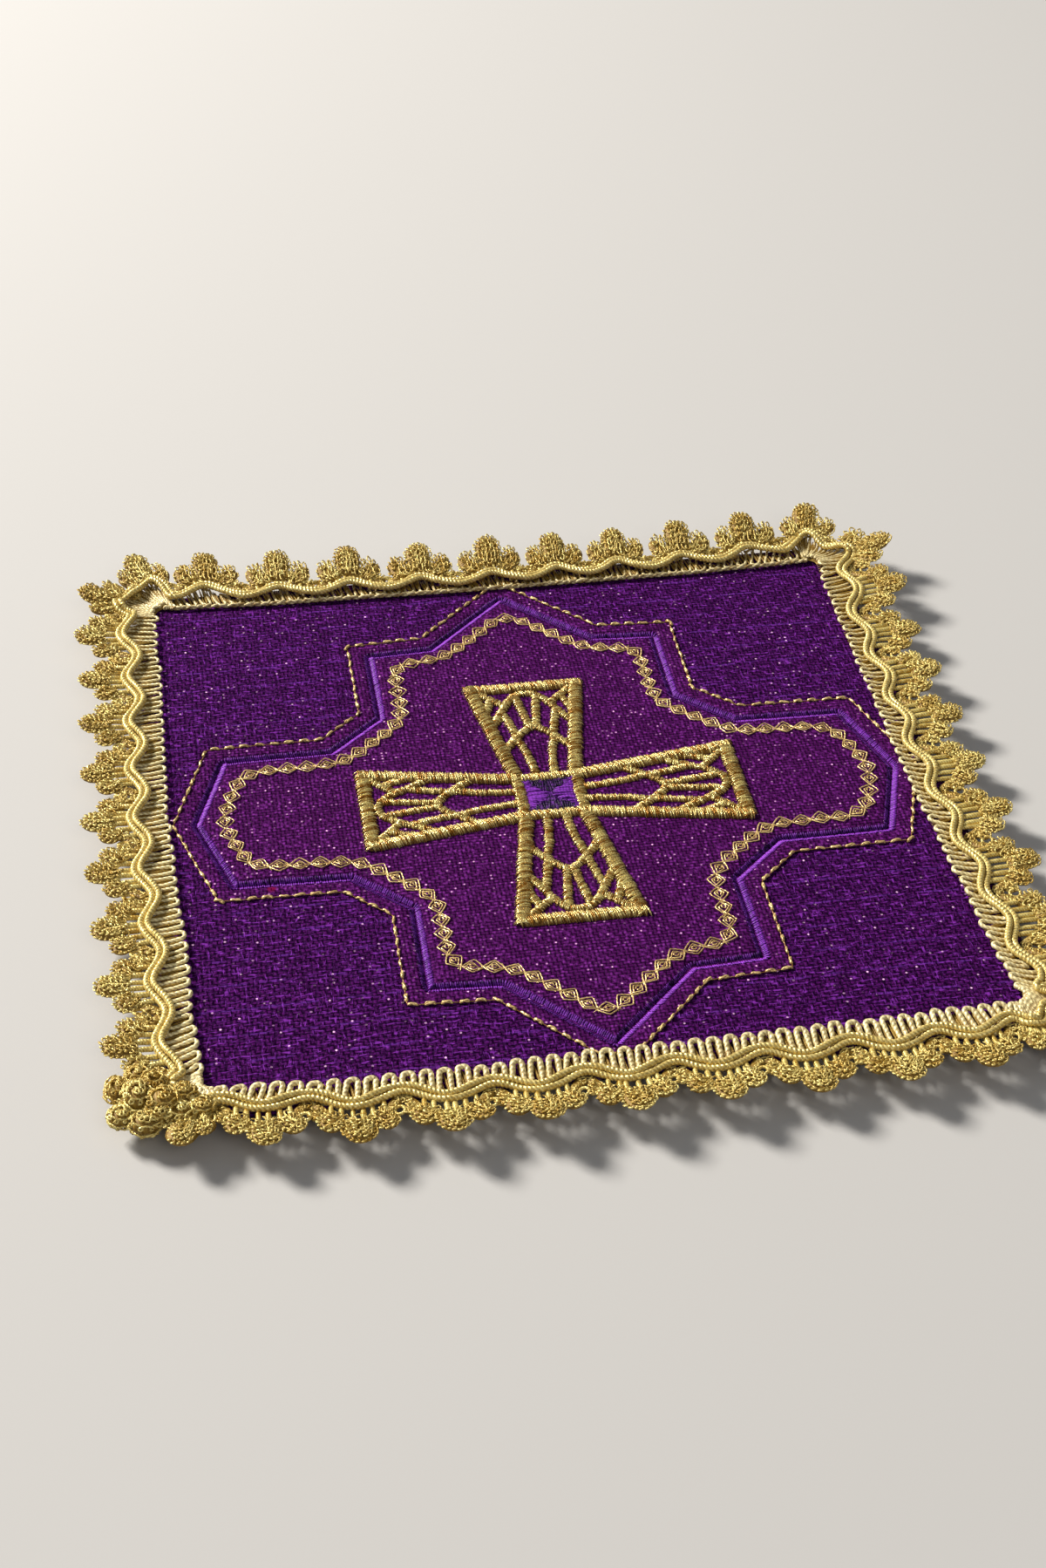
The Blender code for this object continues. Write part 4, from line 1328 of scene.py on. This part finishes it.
def leaning(station):
    """How far a leg runs sideways for each millimetre outwards: towards the nearer corner,
    and along the whole right side towards the front."""
    local = side_of(station)[1]
    pulled = np.where(np.abs(local) < STRAIGHT, 0.55 * (local / 5.0) ** 3, 0.0)
    return pulled - 0.22 * np.exp(-(((station % TOTAL) - 10.5) / 3.0) ** 2)


def header_yarn():
    """One closed path. A loop is a half circle at the inner end, a leg out to the cord, a
    smaller half circle under the cord, and a leg back in. The yarn is thick in front and thinner
    along the back. Its tone is painted light and shade: the left and right sides painted lighter,
    the legs and the corners a painted shade, and along the back a painted shadow of the lace,
    so the front stays light."""
    pitch = SCALLOP / LOOPS
    top = np.linspace(np.pi, 0.0, 9)
    turn = np.linspace(np.pi, 2.0 * np.pi, 5)
    neck = pitch / 2.0 - LOOP_ROUND
    along = np.concatenate([
        LOOP_ROUND * np.cos(top), [LOOP_ROUND] * 2,
        LOOP_ROUND + neck + neck * np.cos(turn), [pitch - LOOP_ROUND] * 2,
    ])
    inward = np.concatenate([LOOP_ROUND * (1.0 - np.sin(top)), np.full(9, LOOP_ROUND)])
    leg = np.concatenate([np.zeros(9), [0.35, 0.7], np.ones(5), [0.7, 0.35]])
    loops = np.arange(TOTAL * LOOPS)[:, None]
    wide = rng.uniform(0.88, 1.06, loops.shape)
    deep = rng.normal(0.0, 0.16, loops.shape)
    station = (loops * pitch + along * np.where(leg < 1.0, wide, 1.0)) / SCALLOP
    inner = HEADER_EDGE + HEADER_YARN + deep + inward + 0.8 * near_corner(station)
    reach = inner + (cord_reach(station) - inner) * leg
    station = station + leaning(station) * (reach - HEADER_EDGE) / SCALLOP
    height = 0.85 - 0.42 * np.sin(0.9 * np.pi * leg) + 0.05 * rng.standard_normal(reach.shape)
    round_edge = 2.0 * np.pi * station / TOTAL
    front = (1.0 + np.cos(round_edge)) / 2.0
    yarn = HEADER_YARN * (0.64 + 0.54 * front ** 2)
    # Painted light and shade in the tone: a painted shadow along the back, the left and right sides
    # painted lighter, painted shade on the legs and at the corners
    shadow = np.clip(-2.2 * np.cos(round_edge) - 1.2, 0.0, 1.0)
    beside = np.abs(np.sin(round_edge))
    leg_painted_shade = (0.32 - 0.2 * beside + 0.8 * front ** 4) * leg
    shade = 1.3 * shadow * np.minimum(1.0, 0.3 + leg)
    tone = 1.0 + 0.6 * beside - leg_painted_shade - 0.3 * near_corner(station) - shade
    path = lay(station.ravel(), reach.ravel(), height.ravel())
    return tubes(path[None], yarn.reshape(1, -1), sides=7, closed=True, tone=tone.reshape(1, -1))


make_piece("header_loops", [header_yarn()], FINISHES["header_yarn"])

# %% [markdown]
# ## Back edge and filling of the header
# Along the back the header's edge looks like a row of slanted dashes: two yarns wound round
# each other, one of them painted dark as the shade between the dashes. Between the loops the
# real header is a dense net of crochet. Its single stitches are too fine to matter, so a row of
# fine yarns closes the gaps, painted brown as the shade in the net.

# %% Edge of the back header and filling of the whole
def back_edge():
    """On the back side two yarns wind round each other along the header's edge, so the edge
    looks like a row of slanted dashes: each is a helix, half a turn from the other. The second
    ply's low tone is painted shade between the bright dashes."""
    station = np.linspace(16.8, 27.2, 420)
    turn = 2.0 * np.pi * station * SCALLOP / 3.4
    plies = []
    for start in (0.0, np.pi):
        reach = HEADER_EDGE + 0.45 + 0.26 * np.cos(turn + start)
        plies.append(lay(station, reach, 0.62 + 0.22 * np.sin(turn + start)))
    # Painted light and shade: the first ply is light, the second dark
    return tubes(np.array(plies), 0.30, sides=5, tone=[1.1, 0.1])


def header_filling():
    """Fine yarns from the edge to under the cord, leaning one way, that close the net between
    the loops; their brown is painted shade in the net."""
    station = np.arange(0.0, TOTAL, 1.0 / 22.0)
    station = station + rng.normal(0.0, 0.012, len(station))
    share = np.linspace(0.0, 1.0, 4)
    start = HEADER_EDGE + 0.6
    reach = start + (cord_reach(station)[:, None] - start) * share
    path = lay(station[:, None] + 0.07 * share, reach, 0.38 + 0.12 * np.sin(np.pi * share))
    thick = rng.uniform(0.20, 0.30, (len(station), 1))
    return tubes(path, thick, sides=4, tone=rng.uniform(0.2, 1.2, len(station)))


make_piece("back_edge", [back_edge()], FINISHES["header_yarn"])
make_piece("header_filling", [header_filling()], FINISHES["lace_core_shade"])

# %% [markdown]
# ## Cord
# The cord is two strands of gimp side by side, each wrapped so that it looks like a string of
# small beads. Separate beads would be thousands of balls: a tube whose radius swells bead by
# bead gives the same outline with far fewer faces.

# %% Doubled gimp cord
STRAND = 0.62
BEAD = 0.78


def gimp_strand(side, samples=84):
    """A strand beside the cord's middle line, with a radius that swells bead by bead. The
    outer strand rides a little lower than the inner one."""
    station = np.arange(TOTAL * samples) / samples
    bunched = near_corner(station) * np.sin(station * 2.0 * np.pi * 1.5)
    height = 1.65 - 0.15 * side + 0.10 * np.sin(4.0 * np.pi * station + side) + 0.5 * bunched
    middle = lay(station, cord_reach(station), height)
    direction = unit(np.roll(middle, -1, axis=0) - np.roll(middle, 1, axis=0))
    outward = unit(np.cross(direction, [0.0, 0.0, 1.0]))
    path = middle + outward * side * STRAND * 0.96
    phase = station * SCALLOP * 1.04 / BEAD
    bead = np.abs(np.sin(np.pi * (phase + 0.3 * side)))
    radius = STRAND * (0.80 + 0.22 * bead ** 0.6) * (1.0 + 0.02 * rng.standard_normal(len(station)))
    return tubes(path[None], radius[None], sides=7, closed=True, tone=0.8)


for name, side in (("gimp_inner", -1.0), ("gimp_outer", 1.0)):
    make_piece(name, [gimp_strand(side)], FINISHES["gimp_yarn"], "gimp_cord")

# %% [markdown]
# ## Shape of a scallop
# A scallop is a fan of crochet: a big lobe, a smaller one on either side, a small lobe and a
# picot ring by each valley. The four lobes are rows of a table, and every later step, padding
# and yarn alike, is laid out from that table.

# %% Shape of a scallop
# Root and tip of each lobe as (along, reach), then its half width and its height
LOBES = np.array([
    (0.0, 81.6, 0.0, 84.5, 2.85, 1.50),
    (-3.0, 80.5, -4.5, 82.1, 2.20, 1.20), (3.0, 80.5, 4.5, 82.1, 2.20, 1.20),
    (-5.9, 78.6, -6.7, 79.9, 1.15, 0.85),
])
LOBE_HEIGHT = 0.40
CORNER_EXTRA = -0.3          # the corners' scallops are a little shorter
BACK_DRAWN = 1.9             # how much closer to the cord the back's bodies sit
BODY_REACH = 81.0            # where a body is thickest


def root_reach(along):
    """Where the body starts: at the cord by the valleys, further out behind the ladder."""
    return 76.3 + 5.0 * np.clip(1.45 - np.abs(along) / 4.4, 0.0, 1.0) ** 0.7


def trim(number, along, reach, height):
    """Points given in millimetres beside scallop number, laid on the object. On the back side
    the bodies sit closer to the cord: the reach shrinks by a bell round BODY_REACH."""
    station = number + np.asarray(along) / SCALLOP
    closer = BACK_DRAWN * on_back(station) * np.exp(-((reach - BODY_REACH) / 2.0) ** 2)
    return lay(station, reach - closer + CORNER_EXTRA * near_corner(station), height)


SCALLOPS = np.arange(TOTAL)[:, None]
print("lobes in a scallop", len(LOBES), "and a picot")

# %% [markdown]
# ## Padded bases
# Flattened rolls give each lobe its mass. Their dark brown is painted shade: the creases between
# lobes and the gaps between the yarns read dark. They are the lace's body, so that the yarn
# over them needn't be dense enough to hide the floor.

# %% Padded bases
def lobe_base(root_along, root, tip_along, tip, half, tall):
    """A flattened roll from root to tip with a round end: past the tip the radius follows a
    circle."""
    share = np.array([0.0, 0.35, 0.7, 1.0])
    end = np.sin(np.radians([25, 50, 70, 84]))
    length = math.hypot(tip_along - root_along, tip - root)
    place = np.concatenate([share, 1.0 + end * half * 0.92 / length])
    along = root_along + (tip_along - root_along) * place
    reach = root + (tip - root) * place
    radius = half * 0.92 * np.concatenate([[0.75, 0.92, 1.0, 1.0], np.sqrt(1.0 - end ** 2)])
    path = trim(SCALLOPS, along, reach, LOBE_HEIGHT + 0.35 * tall)
    return tubes(path, radius, sides=10, flat=0.62 * tall / half, tone=0.3)


def band_base():
    """A flat roll that joins the lobes of a scallop and meets the next one in the valley."""
    along = np.linspace(-7.6, 7.6, 15)
    path = trim(SCALLOPS, along, root_reach(along) + 1.0, LOBE_HEIGHT + 0.25)
    return tubes(path, 1.05, sides=8, flat=0.5, tone=0.3)


base_parts = [*(lobe_base(*lobe) for lobe in LOBES), band_base()]
make_piece("scallop_bases", base_parts, FINISHES["lace_core_shade"], "lace")

# %% [markdown]
# ## Curled yarn
# Yarn that curls along rows over the bases gives the texture and the rough outline. The rows
# follow the lobes' own outlines, because that is how the yarn is hooked. The yarn of the whole
# edge would be one very large mesh, so every fourth scallop goes into the same piece.

# %% Curled yarn over the bases
CURL_YARN = 0.175
CURL_STEP = 0.86
CURL_WIDE = 0.40
CURL_LONG = 0.55
CURL_POINTS = 7              # in one curl


def lobe_line(root_along, root, tip_along, tip, offset):
    """Up one side of a lobe, round its tip and back down, at an offset from its middle."""
    start, end = np.array([root_along, root]), np.array([tip_along, tip])
    ahead = unit(end - start)
    across = -right_of(ahead)
    angle = np.linspace(np.pi / 2.0, -np.pi / 2.0, 13)[:, None]
    round_end = end + offset * (np.cos(angle) * ahead + np.sin(angle) * across)
    return np.vstack([start + across * offset, round_end, start - across * offset])


def curl_lines():
    """All the rows of one scallop: (flat line, height of the curls)."""
    rows = []
    for root_along, root, tip_along, tip, half, tall in LOBES:
        for offset in np.arange(half - 0.35, 0.45, -0.80):
            rise = tall * math.sqrt(max(0.0, 1.0 - (offset / half) ** 2))
            rows.append((lobe_line(root_along, root, tip_along, tip, offset), LOBE_HEIGHT + 0.15 + rise))
        rows.append((np.array([[root_along, root], [tip_along, tip]]), LOBE_HEIGHT + 0.12 + tall))
    along = np.linspace(-7.4, 7.4, 60)
    for out in (0.45, 1.25):
        rows.append((np.column_stack([along, root_reach(along) + out]), LOBE_HEIGHT + 0.55))
    return rows


def curls(numbers):
    """A curl is the turn of an ellipse added to its row; every scallop starts at its own
    phase, with its own small shift."""
    parts = []
    count = len(numbers)
    for line, height in curl_lines():
        total = path_length(line, closed=False)
        turns = max(2, int(total / CURL_STEP))
        phase = np.arange(turns * CURL_POINTS + 1) / CURL_POINTS
        middle = along_path(line, phase / turns * total, closed=False)
        ahead = unit(np.gradient(middle, axis=0))
        start = rng.uniform(0.0, 6.3, (count, 1))
        uneven = 0.15 * rng.standard_normal((count, len(phase)))
        size = 1.0 + 0.25 * np.sin(phase * 1.7 + start) + uneven
        turn = 2.0 * np.pi * phase + start + 0.6 * np.sin(phase * 0.9 + start)
        swing = (size * np.cos(turn))[..., None] * CURL_LONG * ahead
        swing = swing - (size * np.sin(turn))[..., None] * CURL_WIDE * right_of(ahead)
        flat = middle + swing + rng.uniform(-0.13, 0.13, (count, 1, 2))
        rise = height + 0.20 * np.sin(turn + 1.0) + 0.09 * rng.standard_normal(turn.shape)
        yarn = trim(numbers, flat[..., 0], flat[..., 1], rise)
        parts.append(tubes(yarn, CURL_YARN, sides=4))
    return parts


for group in range(4):
    make_piece(f"scallop_curls_{group}", curls(SCALLOPS[group::4]), FINISHES["lace_yarn"])

# %% [markdown]
# ## Gathered corner
# At the front left corner the trim is gathered in a heap over its own cord. No scallop can be
# read in it any more, so it is a handful of clumps, each a ball of curling yarn round a dark
# core, whose dark brown is painted shade between the yarns.

# %% Gathered corner
# Where each clump lies: x, y, height over the cloth, size
PUFFS = np.array([
    (-82.8, -69.2, 0.6, 2.5), (-79.6, -72.4, 1.9, 2.8), (-82.4, -75.0, 0.4, 2.5), (-77.0, -69.8, 1.9, 2.4),
    (-75.8, -74.0, 2.0, 2.8), (-78.6, -76.9, 0.5, 2.5), (-72.4, -72.6, 1.7, 2.1), (-73.2, -76.2, 0.8, 2.5),
    (-79.6, -66.8, 1.3, 2.0), (-69.6, -75.2, 1.0, 2.0), (-80.4, -70.6, 1.2, 2.3), (-76.4, -75.8, 1.3, 2.3),
])
PUFF_YARN = 0.21
PUFF_TURNS = 4.5
PUFF_CURLS = 40.0


def puffs():
    """Clumps of yarn: a spiral of a few turns from top to bottom that curls by itself as the yarn
    of the scallops does, and a dark core inside so that nothing shows through; its dark brown is
    painted shade between the yarns."""
    middle = PUFFS[:, None, :3] + [0.0, 0.0, CLOTH_TOP]
    stretch = rng.uniform([0.9, 0.9, 0.65], [1.25, 1.15, 0.85], (len(PUFFS), 1, 3))
    shape = PUFFS[:, 3, None, None] * stretch
    share = np.linspace(0.04, 0.92, 260)
    turn = 2.0 * np.pi * PUFF_TURNS * share + rng.uniform(0.0, 6.0, (len(PUFFS), 1))
    curl = 2.0 * np.pi * PUFF_CURLS * share + rng.uniform(0.0, 6.0, (len(PUFFS), 1))
    polar = np.pi * share + 0.20 * np.sin(curl)
    turn = turn + 0.26 * np.cos(curl) / np.maximum(0.4, np.sin(polar))
    swell = 1.0 + 0.07 * np.sin(2.6 * turn + 1.0) + 0.04 * rng.standard_normal(turn.shape)
    level = np.sin(polar)
    shell = np.stack([level * np.cos(turn), level * np.sin(turn), np.cos(polar)], axis=-1)
    spiral = middle + shape * swell[..., None] * shell
    step = np.linspace(-0.98, 0.98, 9)
    core = middle + shape * step[:, None] * np.array([0.86, 0.0, 0.0])
    round_core = shape[:, :, 1] * np.sqrt(1.0 - step ** 2) * 0.86
    return tubes(spiral, PUFF_YARN, sides=4), tubes(core, round_core, sides=12, flat=0.7, tone=0.7)


puff_yarn, puff_cores = puffs()
make_piece("corner_puffs", [puff_yarn], FINISHES["lace_yarn"])
make_piece("corner_puff_cores", [puff_cores], FINISHES["lace_core_shade"])

# %% [markdown]
# ## Ladder and picots
# Between the cord and each body a few short straight yarns leave narrow dark slits, like the
# rungs of a ladder. Two small rings of yarn fill each valley. Both are rows of tubes again.

# %% Ladder threads and picot rings
def ladder():
    """Short straight yarns from under the cord to the body, between narrow dark slits."""
    along = np.array([-4.1, -2.45, -0.8, 0.8, 2.45, 4.1])
    number, place = np.meshgrid(SCALLOPS[:, 0], along, indexing="ij")
    place = place.ravel() + rng.normal(0.0, 0.14, place.size)
    number = number.ravel()
    share = np.linspace(0.0, 1.0, 5)
    start = cord_reach(number + place / SCALLOP) + 0.2
    end = root_reach(place) + 1.0
    reach = start[:, None] + (end - start)[:, None] * share
    height = 0.85 + 0.15 * np.sin(np.pi * share)
    thick = rng.uniform(0.42, 0.56, (len(place), 1))
    rungs = trim(number[:, None], place[:, None] * (1.0 + 0.08 * share), reach, height)
    return tubes(rungs, thick, sides=5)


def picots():
    """A ring of yarn by each valley, and a smaller one lying half under it."""
    angle = 2.0 * np.pi * np.arange(14) / 14
    parts = []
    for place, reach, size in ((6.75, 79.9, 0.85), (-6.75, 79.9, 0.70)):
        jitter = rng.normal(0.0, 0.12, (TOTAL, 2))
        along = place + jitter[:, :1] + size * np.cos(angle)
        far = reach + jitter[:, 1:] + size * 1.15 * np.sin(angle)
        ring = trim(SCALLOPS, along, far, 0.9 + 0.2 * np.cos(angle))
        parts.append(tubes(ring, 0.29, sides=6, closed=True))
    return parts


make_piece("ladder_threads", [ladder()], FINISHES["lace_yarn"])
make_piece("picot_rings", picots(), FINISHES["lace_yarn"])

# %% [markdown]
# ## Cloths and their flat sizes
# The ground is one square of cloth with the trim sewn round it. The medallion is a second
# cloth, let into the first, whose flat area is that of its own outline: half the sum of
# x * next y - next x * y over the outline's points. The two gable points end at a cut line.

def flat_area(line):
    """Half the sum of the cross products of neighbouring points."""
    following = np.roll(line, -1, axis=0)
    return abs((line[:, 0] * following[:, 1] - following[:, 0] * line[:, 1]).sum()) / 2.0


cut_line = placed(divided(MARGIN))
cut_line[:, 1] = np.clip(cut_line[:, 1], -MEDALLION_REACH, MEDALLION_REACH)
wide, long = np.ptp(cut_line, axis=0) * MM
medallion_area = flat_area(cut_line) * MM ** 2
share = medallion_area / wide / long
print("medallion flat mm", round(wide / MM, 1), round(long / MM, 1), "share of its box", round(share, 2))

# %% [markdown]
